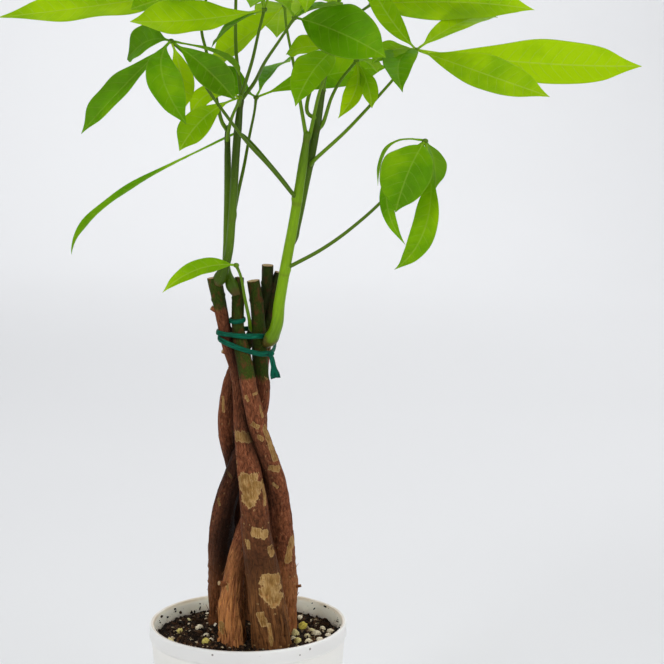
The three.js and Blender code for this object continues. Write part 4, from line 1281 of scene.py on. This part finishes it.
def specks_group():
    """Specks: small round spots in the middle of random cells, in as many cells as the cover says."""
    tree, given, result = started_group("Specks", {"Spacing": 2.0, "Cover": 0.3, "Size": 0.3}, ("Mask",))
    scale = maths(tree, "DIVIDE", 1.0, given["Spacing"])
    cells = put(tree, "ShaderNodeTexVoronoi", {"Vector": given["Vector"], "Scale": scale}).outputs
    chosen = put(tree, "ShaderNodeSeparateColor", {0: cells["Color"]}).outputs[0]
    kept = maths(tree, "LESS_THAN", chosen, given["Cover"])
    near = ranged(tree, maths(tree, "DIVIDE", cells["Distance"], given["Size"]), 1.0, 0.5)
    tree.links.new(times(tree, kept, near), result["Mask"])
    return tree


def leaf_veins_group():
    """Leaf Veins. The vector holds x across, y along and half the width, in millimetres. Side veins
    lie where y - lean |x| - curve x^2 is half way between whole spacings."""
    tree, given, result = started_group(
        "Leaf Veins", {"Spacing": 6.8}, ("Midrib", "Side Veins", "Net", "Margin"))
    parts = put(tree, "ShaderNodeSeparateXYZ", {0: given["Vector"]}).outputs
    away = maths(tree, "ABSOLUTE", parts[0])
    wobble = maths(tree, "MULTIPLY_ADD", noisy(tree, given["Vector"], 0.12, 2), 2.4, -1.2)
    lean = maths(tree, "MULTIPLY_ADD", away, VEIN_CURVE, VEIN_LEAN)
    run = maths(tree, "SUBTRACT", maths(tree, "ADD", parts[1], wobble), times(tree, away, lean))
    phase = maths(tree, "FRACT", maths(tree, "DIVIDE", run, given["Spacing"]))
    gap = times(tree, maths(tree, "ABSOLUTE", maths(tree, "SUBTRACT", phase, 0.5)), given["Spacing"])
    inward = maths(tree, "DIVIDE", away, maths(tree, "MAXIMUM", parts[2], 0.5))
    edge = maths(tree, "SUBTRACT", 1.0, inward)
    side_veins = times(tree, ranged(tree, gap, 0.62, 0.1), ranged(tree, edge, 0.02, 0.6, 0.3, 1.0))
    midrib = maths(tree, "DIVIDE", away, ranged(tree, edge, 0.0, 1.0, 0.4, 1.0))
    tree.links.new(ranged(tree, midrib, 0.75, 0.25), result["Midrib"])
    tree.links.new(side_veins, result["Side Veins"])
    tree.links.new(ranged(tree, edge_distance(tree, given["Vector"], 0.75), 0.09, 0.0), result["Net"])
    tree.links.new(ranged(tree, edge, 0.08, 0.0), result["Margin"])
    return tree


def effect(tree, name, inputs):
    """Puts a shared node group, built the first time that it is asked for, into a tree, and gives
    each of its inputs a value."""
    makers = {"Stem Grain": stem_grain_group, "Specks": specks_group, "Leaf Veins": leaf_veins_group}
    group = bpy.data.node_groups.get(name) or makers[name]()
    return put(tree, "ShaderNodeGroup", inputs, node_tree=group).outputs


def stem_grain(tree, vector, scale, stretch):
    """The Stem Grain group's outputs."""
    return effect(tree, "Stem Grain", {"Vector": vector, "Scale": scale, "Stretch": stretch})


def specks(tree, vector, spacing, cover, size):
    """The Specks group's mask."""
    inputs = {"Vector": vector, "Spacing": spacing, "Cover": cover, "Size": size}
    return effect(tree, "Specks", inputs)["Mask"]


def started_material(name):
    """A new material and its empty node tree."""
    material = bpy.data.materials.new(name)
    material.use_nodes = True
    material.node_tree.nodes.clear()
    return material, material.node_tree


def skin_shader(tree, **inputs):
    """The shader that every finish is built on; inputs are named with _ for a space."""
    named = {key.replace("_", " "): value for key, value in inputs.items()}
    return put(tree, "ShaderNodeBsdfPrincipled", named).outputs[0]


def finished(material, shader):
    """The material with a shader joined to its output."""
    put(material.node_tree, "ShaderNodeOutputMaterial", {"Surface": shader})
    return material


# ---------------------------------------------------------------- materials

def pot_material(settings):
    """White satin plastic: faint cloudiness, a few dark dust specks, a smear of soil inside, and a
    warmer, brighter white painted on the inside wall as light.
    """
    material, tree = started_material("pot_white")
    where = placed(tree)
    reach = from_axis(tree, where)
    height = put(tree, "ShaderNodeSeparateXYZ", {0: where}).outputs[2]
    inner = attribute(tree, "inner")
    cloud = noisy(tree, where, 0.03, 4)
    white = mixed(tree, ranged(tree, cloud, 0.3, 0.7, 0.0, 0.35), settings.white, settings.shade)
    # Painted light: the inside wall is given a warmer, brighter white than the outside
    white = mixed(tree, inner, white, settings.painted_inside_light)
    low = ranged(tree, height, POT["height"] - 2.5, SOIL_LEVEL + 0.5)
    patchy = ranged(tree, noisy(tree, where, 0.16, 5, 0.65), 0.38, 0.66)
    smear = times(tree, times(tree, inner, low), times(tree, patchy, 0.18))
    dusty = mixed(tree, smear, white, settings.dust)
    dusty = mixed(tree, times(tree, specks(tree, where, 5.0, 0.1, 0.07), 0.4), dusty, settings.dust)
    lip = times(tree, ranged(tree, height, POT["height"] - 3.0, POT["height"] - 0.6),
                ranged(tree, reach, POT["rim_radius"] - 0.7, POT["rim_radius"] - 1.3))
    dusty = mixed(tree, times(tree, lip, ranged(tree, cloud, 0.3, 0.6, 0.2, 0.5)), dusty, settings.lip)
    for place, size in DIRT:
        away = put(tree, "ShaderNodeVectorMath", {0: where, 1: place}, operation="DISTANCE").outputs["Value"]
        dusty = mixed(tree, ranged(tree, away, size, 0.5 * size, 0.0, 0.75), dusty, settings.dust)
    return finished(material, skin_shader(
        tree, Base_Color=dusty, Roughness=ranged(tree, cloud, 0.3, 0.7, 0.3, 0.42),
        Normal=bumped(tree, noisy(tree, where, 1.3, 3), 0.02), IOR=1.5, Coat_Weight=0.1, Coat_Roughness=0.2,
        Subsurface_Weight=ranged(tree, height, SOIL_LEVEL - 1, SOIL_LEVEL + 5),
        Subsurface_Radius=(1.0, 0.98, 0.96), Subsurface_Scale=0.01))


def soil_material():
    """Damp potting soil: each grain's own colour, mottled, with a rough crumbly surface."""
    material, tree = started_material("soil_dark")
    where = placed(tree)
    mottle = noisy(tree, where, 0.9, 6, 0.7)
    shade = mixed(tree, 1.0, attribute(tree, "tint", "Color"),
                  ramp(tree, mottle, (0.3, (0.4, 0.36, 0.32)), (0.7, (1.5, 1.4, 1.3))), "MULTIPLY")
    damp = ranged(tree, noisy(tree, where, 0.08, 3), 0.35, 0.65)
    return finished(material, skin_shader(
        tree, Base_Color=shade, Roughness=maths(tree, "MULTIPLY_ADD", damp, -0.25, 0.95),
        Normal=bumped(tree, mottle, 0.5), IOR=1.4, Specular_IOR_Level=0.2))


def rough_bark(tree, settings, grain, coarse, fine, crack):
    """Old bark: red-brown ridges over dark crevices with dull blotches and cracks, and orange torn
    threads near the soil."""
    brown = ramp(tree, coarse["Fibres"], (0.2, settings.crevice_and_shade), (0.4, settings.brown),
                 (0.58, settings.ruddy), (0.84, settings.ash))
    brown = mixed(tree, ranged(tree, fine["Fibres"], 0.48, 0.3, 0.0, 0.5), brown, settings.crevice_and_shade)
    brown = mixed(tree, ranged(tree, coarse["Blotches"], 0.5, 0.7, 0.0, 0.5), brown, settings.dull)
    brown = mixed(tree, times(tree, attribute(tree, "dull"), 0.9), brown, settings.dull)
    brown = mixed(tree, times(tree, crack, 0.4), brown, settings.crevice_and_shade)
    worn, threads = attribute(tree, "fibrous"), stem_grain(tree, grain, 1.5, 20.0)["Fibres"]
    brown = mixed(tree, times(tree, worn, ranged(tree, threads, 0.38, 0.6, 0.15, 0.95)), brown,
                  settings.orange)
    return mixed(tree, times(tree, worn, ranged(tree, threads, 0.41, 0.33, 0.0, 0.5)), brown,
                 settings.crevice_and_shade)


def young_bark(tree, settings, grain, coarse, fine):
    """Bark that is still green, with brown flecks and blotches."""
    fresh = ramp(tree, fine["Fibres"], (0.3, settings.green_dark), (0.7, settings.green_light))
    fleck = maths(tree, "MAXIMUM", specks(tree, grain, 1.9, 0.35, 0.35),
                  ranged(tree, coarse["Blotches"], 0.5, 0.66))
    return mixed(tree, times(tree, fleck, 0.75), fresh, settings.brown)


def bare_fibre(tree, settings, grain, coarse, brown, ragged):
    """Tan fibres where the bark has come off: streaked, stained, with scraps of bark left on and a
    painted highlight along their edge."""
    streaks = stem_grain(tree, grain, 2.2, 12.0)["Fibres"]
    tan = ramp(tree, streaks, (0.3, settings.tan_dark), (0.48, settings.tan), (0.7, settings.tan_light_and_highlight))
    tan = mixed(tree, ranged(tree, noisy(tree, grain, 0.22, 3), 0.45, 0.68, 0.0, 0.6), tan,
                settings.tan_dark)
    tan = mixed(tree, ranged(tree, coarse["Blotches"], 0.5, 0.75, 0.0, 0.4), tan, settings.orange)
    tan = mixed(tree, times(tree, specks(tree, grain, 2.6, 0.4, 0.5), 0.2), tan, brown)
    tan = mixed(tree, ranged(tree, streaks, 0.4, 0.3, 0.0, 0.45), tan, brown)
    # Painted highlight: the pale light tan along the ragged edge of a bare place
    return mixed(tree, ranged(tree, ragged, 0.34, 0.1, 0.0, 0.5), tan, settings.tan_light_and_highlight)


def cut_wood(tree, settings, grain):
    """The cut across a trunk: pale wood in wavy rings, stained, with a brown rim."""
    share = from_axis(tree, grain)
    ring = maths(tree, "SINE", maths(tree, "MULTIPLY_ADD", noisy(tree, grain, 0.6, 2), 5.0,
                                     times(tree, share, 2.6)))
    wood = mixed(tree, ranged(tree, ring, -1.0, 1.0, 0.0, 0.45), settings.cut, settings.tan)
    wood = mixed(tree, ranged(tree, noisy(tree, grain, 0.9, 4), 0.5, 0.75, 0.0, 0.5), wood,
                 settings.tan_dark)
    return mixed(tree, ranged(tree, share, 6.7, 7.4), wood, settings.brown)


def bark_material(settings):
    """Bark in four states: red-brown and fissured, young green, bare tan fibre, and cut wood, with
    painted shade where the trunks press together.
    """
    material, tree = started_material("bark")
    grain = attribute(tree, "grain", "Vector")
    bare, green, cut, tuck = (attribute(tree, name) for name in ("bare", "green", "cut", "tuck"))
    coarse, fine = stem_grain(tree, grain, 0.8, 2.6), stem_grain(tree, grain, 2.6, 4.0)
    crack = ranged(tree, edge_distance(tree, scaled(tree, grain, (1.0, 1.0, 0.45)), 0.42), 0.09, 0.0)
    brown = rough_bark(tree, settings, grain, coarse, fine, crack)
    is_green = ranged(tree, maths(tree, "ADD", coarse["Fibres"], green), 0.2, 0.9)
    outer = mixed(tree, is_green, brown, young_bark(tree, settings, grain, coarse, fine))
    scrap = times(tree, specks(tree, grain, 3.4, 0.22, 0.26),
                  ranged(tree, fine["Fibres"], 0.45, 0.6, 0.0, 0.7))
    outer = mixed(tree, times(tree, scrap, ranged(tree, green, 0.2, -0.3)), outer, settings.tan_light_and_highlight)
    ragged = swayed(tree, swayed(tree, bare, fine["Fibres"], 0.5), coarse["Fibres"], 0.5)
    skin = mixed(tree, ranged(tree, ragged, -0.02, 0.1), outer,
                 bare_fibre(tree, settings, grain, coarse, brown, ragged))
    # Painted shade: the bark darkens towards the crevice colour near another trunk
    skin = mixed(tree, times(tree, tuck, 0.9), skin, settings.crevice_and_shade)
    whole = mixed(tree, cut, skin, cut_wood(tree, settings, grain))
    relief = maths(tree, "ADD", coarse["Fibres"], times(tree, fine["Fibres"], 0.45))
    relief = maths(tree, "SUBTRACT", relief, times(tree, crack, 0.3))
    return finished(material, skin_shader(
        tree, Base_Color=whole, Roughness=maths(tree, "MULTIPLY_ADD", fine["Fibres"], 0.3, 0.5),
        Normal=bumped(tree, relief, 0.6), IOR=1.4, Specular_IOR_Level=0.16))


def stem_material(name, settings, stalk):
    """Green skin of shoots and leaf stalks: fresher or deeper by tone, streaked along its length,
    with pale pores and brown scars on the shoots."""
    material, tree = started_material(name)
    grain = attribute(tree, "grain", "Vector")
    fibres = stem_grain(tree, grain, 1.5, 8.0)
    green = ramp(tree, swayed(tree, attribute(tree, "tone"), fibres["Fibres"], 0.5),
                 (0.0, settings.stem_deep), (0.5, settings.stem_mid), (1.0, settings.stem_fresh))
    pore = specks(tree, grain, 1.6, 0.3, 0.2)
    green = mixed(tree, times(tree, pore, 0.1 if stalk else 0.4), green, settings.pore)
    if not stalk:
        green = mixed(tree, attribute(tree, "scar"), green, settings.scar)
    return finished(material, skin_shader(
        tree, Base_Color=green, Roughness=ranged(tree, fibres["Blotches"], 0.3, 0.7, 0.32, 0.5),
        Normal=bumped(tree, fibres["Fibres"], 0.12), IOR=1.42, Specular_IOR_Level=0.3))


def blade_material(settings):
    """A leaf's skin: green by tone, paler under, with a pale midrib and side veins, some gloss, and
    light passing through."""
    material, tree = started_material("leaf_blade")
    where = placed(tree)
    tone = attribute(tree, "tone")
    veins = effect(tree, "Leaf Veins", {"Vector": attribute(tree, "blade", "Vector"),
                                        "Spacing": settings.vein_spacing / MM})
    shade = swayed(tree, tone, noisy(tree, where, 0.028, 4, 0.6), 0.95)
    top = ramp(tree, shade, (0.1, settings.deep), (0.5, settings.mid), (0.95, settings.bright))
    skin = mixed(tree, attribute(tree, "under"), top, mixed(tree, 0.45, top, settings.underside))
    line = maths(tree, "MAXIMUM", times(tree, veins["Midrib"], 0.44),
                 maths(tree, "MAXIMUM", times(tree, veins["Side Veins"], 0.26),
                       times(tree, veins["Net"], 0.08)))
    line = times(tree, line, ranged(tree, tone, 0.35, 0.9, 0.5, 1.25))
    skin = mixed(tree, line, skin, settings.vein)
    skin = mixed(tree, times(tree, veins["Margin"], 0.35), skin, settings.vein)
    height = maths(tree, "ADD", times(tree, veins["Side Veins"], -0.7),
                   times(tree, noisy(tree, where, 1.1, 4, 0.65), 0.55))
    normal = bumped(tree, maths(tree, "SUBTRACT", height, times(tree, veins["Net"], 0.2)), 0.18)
    shader = skin_shader(
        tree, Base_Color=skin, Roughness=ranged(tree, noisy(tree, where, 0.3, 3), 0.3, 0.7, 0.4, 0.56),
        Normal=normal, IOR=1.4, Specular_IOR_Level=0.18)
    glow = ramp(tree, shade, (0.1, settings.glow_deep), (0.5, settings.glow_mid),
                (0.95, settings.glow_bright))
    glow = mixed(tree, times(tree, line, 0.6), glow, settings.vein)
    through_light = put(tree, "ShaderNodeBsdfTranslucent", {"Color": glow, "Normal": normal}).outputs[0]
    both = put(tree, "ShaderNodeMixShader", {0: settings.translucency, 1: shader, 2: through_light})
    return finished(material, both.outputs[0])


def twine_material(settings):
    """Glossy flat plastic twine: fine lengthwise ribs, with painted shade between them and a painted
    highlight on their tops, and a slow change of green.
    """
    material, tree = started_material("twine_green")
    fibres = stem_grain(tree, attribute(tree, "grain", "Vector"), 2.6, 14.0)
    # Painted shade and highlight: darker between the ribs and lighter on their tops, by the same pattern as
    # the bump
    shade = ramp(tree, fibres["Fibres"], (0.3, settings.deep), (0.52, settings.green),
                 (0.75, settings.light))
    return finished(material, skin_shader(
        tree, Base_Color=shade, Roughness=ranged(tree, fibres["Blotches"], 0.3, 0.7, 0.42, 0.58),
        Normal=bumped(tree, fibres["Fibres"], 0.2), IOR=1.45, Specular_IOR_Level=0.14))


def backdrop_material(settings):
    """Matt pale paint with a very faint cloudiness."""
    material, tree = started_material("backdrop")
    cloud = noisy(tree, put(tree, "ShaderNodeTexCoord").outputs["Object"], 0.8, 2)
    pale = mixed(tree, ranged(tree, cloud, 0.3, 0.7), settings.pale, [0.985 * c for c in settings.pale])
    return finished(material, skin_shader(tree, Base_Color=pale, Roughness=0.9))


# ---------------------------------------------------------------- settings

class PotSettings(bpy.types.PropertyGroup):
    """Sizes and colours of the pot."""

    columns: IntProperty(name="Columns", description="Faces round the pot", default=192, min=24, max=512)
    ring_step: FloatProperty(name="Ring Step", description="Height of the faces along the wall",
                             default=4 * MM, min=MM, unit="LENGTH")
    white: tint_property("White", "Main colour of the pot", 0xF6F4EE)
    shade: tint_property("Shade", "Slightly darker white of the cloudiness", 0xF0EDE5)
    # Painted light: the warmer, brighter white given to the inside wall
    painted_inside_light: tint_property("Cream", "Warmer white of the inside", 0xFFF3DF)
    dust: tint_property("Dust", "Soil dust inside the rim", 0x4A382A)
    lip: tint_property("Lip", "Stain on the inner edge of the rim", 0xA88A6A)


class SoilSettings(bpy.types.PropertyGroup):
    """How the soil is made."""

    seed: IntProperty(name="Seed", description="Which of the random layouts is used", default=8)
    crumbs: IntProperty(name="Crumbs", description="Number of dark crumbs on the soil", default=4600,
                        min=0, max=6000)
    wall_crumbs: IntProperty(name="Wall Crumbs", default=300, min=0, max=2000,
                             description="Number of crumbs stuck to the inside of the pot")


class BarkSettings(bpy.types.PropertyGroup):
    """Fineness of the trunks and the colours of their bark."""

    trunk_columns: IntProperty(name="Columns", description="Faces round the thickest trunk",
                               default=128, min=16, max=256)
    trunk_step: FloatProperty(name="Ring Step", description="Height of the faces along a trunk",
                              default=0.95 * MM, min=0.5 * MM, unit="LENGTH")
    shreds: IntProperty(name="Shreds", description="Torn strips of bark near the soil on each trunk",
                        default=22, min=0, max=100)
    # Crevice also colours the painted shade between the trunks
    crevice_and_shade: tint_property("Crevice", "Bottom of the cracks", 0x160A05)
    brown: tint_property("Brown", "Main bark colour", 0x693A22)
    ruddy: tint_property("Ruddy", "Ridges of the bark", 0x945638)
    ash: tint_property("Ash", "Weathered ridge tops", 0xB08460)
    dull: tint_property("Dull Brown", "Greyer blotches of the bark", 0x432812)
    orange: tint_property("Orange", "Fibrous bark near the soil", 0xCC8A50)
    green_dark: tint_property("Deep Green", "Young bark in shade", 0x1E2806)
    green_light: tint_property("Fresh Green", "Young bark in light", 0x465C14)
    tan_dark: tint_property("Dark Tan", "Stained fibres where the bark is off", 0x6E4A1E)
    tan: tint_property("Tan", "Fibres where the bark is off", 0x9C7640)
    # Light tan is also the painted highlight along the edges of bare places
    tan_light_and_highlight: tint_property("Light Tan", "Driest fibres", 0xC8A670)
    cut: tint_property("Cut Wood", "Sawn tops of the trunks", 0xCDB083)


class LeafSettings(bpy.types.PropertyGroup):
    """Fineness of the leaves, their veins and the colours of leaves, stalks and shoots."""

    blade_step: FloatProperty(name="Blade Step", description="Length of the faces along a leaflet",
                              default=1.6 * MM, min=0.5 * MM, unit="LENGTH")
    vein_spacing: FloatProperty(name="Vein Spacing", description="Distance between side veins",
                                default=6.8 * MM, min=MM, unit="LENGTH")
    translucency: FloatProperty(name="Translucency", default=0.5, min=0, max=1, subtype="FACTOR",
                                description="Share of the light that passes through a leaf")
    shoot_columns: IntProperty(name="Shoot Columns", description="Faces round a shoot", default=40,
                               min=8, max=96)
    deep: tint_property("Deep", "Oldest leaves", 0x527400)
    mid: tint_property("Middle", "Most leaves", 0x6EA400)
    bright: tint_property("Bright", "Youngest leaves", 0xB4DC00)
    underside: tint_property("Underside", "Paler colour of the lower faces", 0x9EBA3C)
    vein: tint_property("Vein", "Midrib and side veins", 0xCCE060)
    glow_deep: tint_property("Deep Glow", "Light through an old leaf", 0x74A400)
    glow_mid: tint_property("Middle Glow", "Light through most leaves", 0xA2D600)
    glow_bright: tint_property("Bright Glow", "Light through a young leaf", 0xE0F400)
    stem_deep: tint_property("Deep Stem", "Older shoots", 0x3C5406)
    stem_mid: tint_property("Middle Stem", "Most stalks", 0x5C7E08)
    stem_fresh: tint_property("Fresh Stem", "Youngest shoot", 0x86B004)
    pore: tint_property("Pore", "Pale pores on the shoots", 0xA6A465)
    scar: tint_property("Scar", "Scars where leaves fell", 0x5A4220)


class TieSettings(bpy.types.PropertyGroup):
    """Fineness and colours of the twine."""

    twine_columns: IntProperty(name="Columns", description="Faces round the twine", default=18,
                               min=6, max=48)
    # Deep is painted shade between the ribs; light is a painted highlight on their tops
    deep: tint_property("Deep", "Between the ribs", 0x001E18)
    green: tint_property("Green", "Main colour of the twine", 0x00563F)
    light: tint_property("Light", "Tops of the ribs", 0x00805E)


class StageSettings(bpy.types.PropertyGroup):
    """The backdrop and the strengths of its lights."""

    pale: tint_property("Backdrop", "Colour of the floor and wall", 0xEDEEF0)
    key: power_property("Key", "Light from the upper left, in watts", 33)
    fill: power_property("Fill", "Light from the right, in watts", 26)
    back: power_property("Back", "Light from above and behind, in watts", 30)
    wall: power_property("Wall", "Light on the far wall, in watts", 22)
    sky: FloatProperty(name="Sky", description="Strength of the light from all round", default=0.32, min=0)


class MoneyTreeSettings(bpy.types.PropertyGroup):
    """All settings of the money tree."""

    pot: PointerProperty(type=PotSettings)
    soil: PointerProperty(type=SoilSettings)
    bark: PointerProperty(type=BarkSettings)
    leaves: PointerProperty(type=LeafSettings)
    tie: PointerProperty(type=TieSettings)
    stage: PointerProperty(type=StageSettings)


# ---------------------------------------------------------------- operators

class MONEYTREE_OT_make_pot(bpy.types.Operator):
    """Make the white pot"""

    bl_idname = "moneytree.make_pot"
    bl_label = "Make Pot"

    def execute(self, context):
        settings = context.scene.money_tree.pot
        make_piece("pot_shell", [pot_shape(settings)], [pot_material(settings)], "pot")
        return {"FINISHED"}


class MONEYTREE_OT_make_soil(bpy.types.Operator):
    """Make the soil with its crumbs and pebbles"""

    bl_idname = "moneytree.make_soil"
    bl_label = "Make Soil"

    def execute(self, context):
        settings = context.scene.money_tree.soil
        make_piece("soil_bed", soil_shapes(settings), [soil_material()], "soil")
        return {"FINISHED"}


class MONEYTREE_OT_make_trunks(bpy.types.Operator):
    """Make the five braided trunks"""

    bl_idname = "moneytree.make_trunks"
    bl_label = "Make Trunks"

    def execute(self, context):
        settings = context.scene.money_tree.bark
        material = bark_material(settings)
        for name in TRUNKS:
            make_piece(f"{name}_bark", trunk_shapes(name, settings), [material], name)
        return {"FINISHED"}


class MONEYTREE_OT_make_shoots(bpy.types.Operator):
    """Make the young green shoots"""

    bl_idname = "moneytree.make_shoots"
    bl_label = "Make Shoots"

    def execute(self, context):
        settings = context.scene.money_tree.leaves
        material = stem_material("shoot_green", settings, stalk=False)
        for name in SHOOTS:
            make_piece(f"{name}_skin", [shoot_shape(name, settings)], [material], name)
        return {"FINISHED"}


class MONEYTREE_OT_make_leaves(bpy.types.Operator):
    """Make the leaves, each with its stalk"""

    bl_idname = "moneytree.make_leaves"
    bl_label = "Make Leaves"

    def execute(self, context):
        settings = context.scene.money_tree.leaves
        materials = [blade_material(settings), stem_material("leaf_stalk", settings, stalk=True)]
        for name in LEAVES:
            make_piece(f"{name}_foliage", leaf_shapes(name, settings), materials, name)
        return {"FINISHED"}


class MONEYTREE_OT_make_tie(bpy.types.Operator):
    """Make the green twine that holds the trunks together"""

    bl_idname = "moneytree.make_tie"
    bl_label = "Make Tie"

    def execute(self, context):
        settings = context.scene.money_tree.tie
        material = twine_material(settings)
        make_piece("twine", tie_shapes(settings), [material], "tie")
        make_piece("twine_upper_turn", [upper_turn_shape(settings)], [material],
                   "tie_upper_turn")
        return {"FINISHED"}


def area_light(name, power, place, size, facing):
    """A square soft light that faces a point."""
    light = bpy.data.lights.new(name, "AREA")
    light.size, light.energy = size, power
    made = bpy.data.objects.new(name, light)
    made.location = place
    aim = mathutils.Vector(facing) - made.location
    made.rotation_euler = aim.to_track_quat("-Z", "Y").to_euler()
    made.visible_camera = False
    bpy.context.scene.collection.objects.link(made)


def backdrop_bowl():
    """The floor and wall as one lathe: a flat disc, a quarter circle up and an upright wall."""
    turn = np.linspace(0, math.pi / 2, 24)
    floor = [(radius, 0) for radius in (0.05, 0.5, 1.5, 2.6)]
    bend = np.stack([BACKDROP_FLAT + BACKDROP_BEND * np.sin(turn),
                     BACKDROP_BEND - BACKDROP_BEND * np.cos(turn)], -1)
    profile = np.vstack([floor, bend, [(BACKDROP_FLAT + BACKDROP_BEND, BACKDROP_TOP)]])
    rows, columns = len(profile), 96
    points = np.vstack([lathe(profile, columns).reshape(-1, 3), [(0, 0, 0)]])
    middle = fan_faces(np.arange(columns), rows * columns, False)
    mesh = bpy.data.meshes.new("backdrop")
    mesh.from_pydata(points, [], ring_faces(rows, columns).tolist() + middle.tolist())
    mesh.polygons.foreach_set("use_smooth", np.ones(len(mesh.polygons), bool))
    mesh.update()
    made = bpy.data.objects.new("backdrop", mesh)
    bpy.context.scene.collection.objects.link(made)
    return made


class MONEYTREE_OT_make_stage(bpy.types.Operator):
    """Make the backdrop, the lights and the camera"""

    bl_idname = "moneytree.make_stage"
    bl_label = "Make Stage"

    def execute(self, context):
        scene = context.scene
        settings = scene.money_tree.stage
        backdrop = backdrop_bowl()
        backdrop.data.materials.append(backdrop_material(settings))
        for name, light in LIGHTS.items():
            area_light(name, getattr(settings, name), *light)
        world = bpy.data.worlds.new("studio")
        world.use_nodes = True
        background = world.node_tree.nodes["Background"]
        background.inputs["Color"].default_value = (1.0, 1.0, 1.0, 1.0)
        background.inputs["Strength"].default_value = settings.sky
        scene.world = world
        lens = bpy.data.cameras.new("camera")
        lens.sensor_width, lens.lens = SENSOR_WIDTH, FOCAL_LENGTH / PICTURE_WIDTH * SENSOR_WIDTH
        camera = bpy.data.objects.new("camera", lens)
        camera.location = CAMERA_PLACE
        camera.rotation_euler = (math.radians(CAMERA_TILT), 0.0, 0.0)
        scene.collection.objects.link(camera)
        scene.camera = camera
        scene.view_settings.view_transform = "Standard"
        return {"FINISHED"}


class MONEYTREE_PT_panel(bpy.types.Panel):
    """Lists the steps that make the money tree"""

    bl_label = "Money Tree"
    bl_idname = "MONEYTREE_PT_panel"
    bl_space_type = "VIEW_3D"
    bl_region_type = "UI"
    bl_category = "Money Tree"

    def draw(self, context):
        for step in STEPS:
            self.layout.operator(f"moneytree.{step}")
        for part in MoneyTreeSettings.__annotations__:
            settings = getattr(context.scene.money_tree, part)
            box = self.layout.box()
            box.label(text=part.capitalize())
            for name in settings.__annotations__:
                box.prop(settings, name)


STEPS = ("make_stage", "make_pot", "make_soil", "make_trunks", "make_shoots", "make_tie", "make_leaves")
CLASSES = (
    PotSettings, SoilSettings, BarkSettings, LeafSettings, TieSettings, StageSettings, MoneyTreeSettings,
    MONEYTREE_OT_make_pot, MONEYTREE_OT_make_soil, MONEYTREE_OT_make_trunks, MONEYTREE_OT_make_shoots,
    MONEYTREE_OT_make_leaves, MONEYTREE_OT_make_tie, MONEYTREE_OT_make_stage, MONEYTREE_PT_panel,
)


def register():
    """Registers the classes and gives each scene its settings."""
    for entry in CLASSES:
        bpy.utils.register_class(entry)
    bpy.types.Scene.money_tree = PointerProperty(type=MoneyTreeSettings)


def unregister():
    """Takes back what register did."""
    del bpy.types.Scene.money_tree
    for entry in reversed(CLASSES):
        bpy.utils.unregister_class(entry)


def main():
    """Makes the whole scene."""
    register()
    for step in STEPS:
        getattr(bpy.ops.moneytree, step)()


if __name__ == "__main__":
    main()
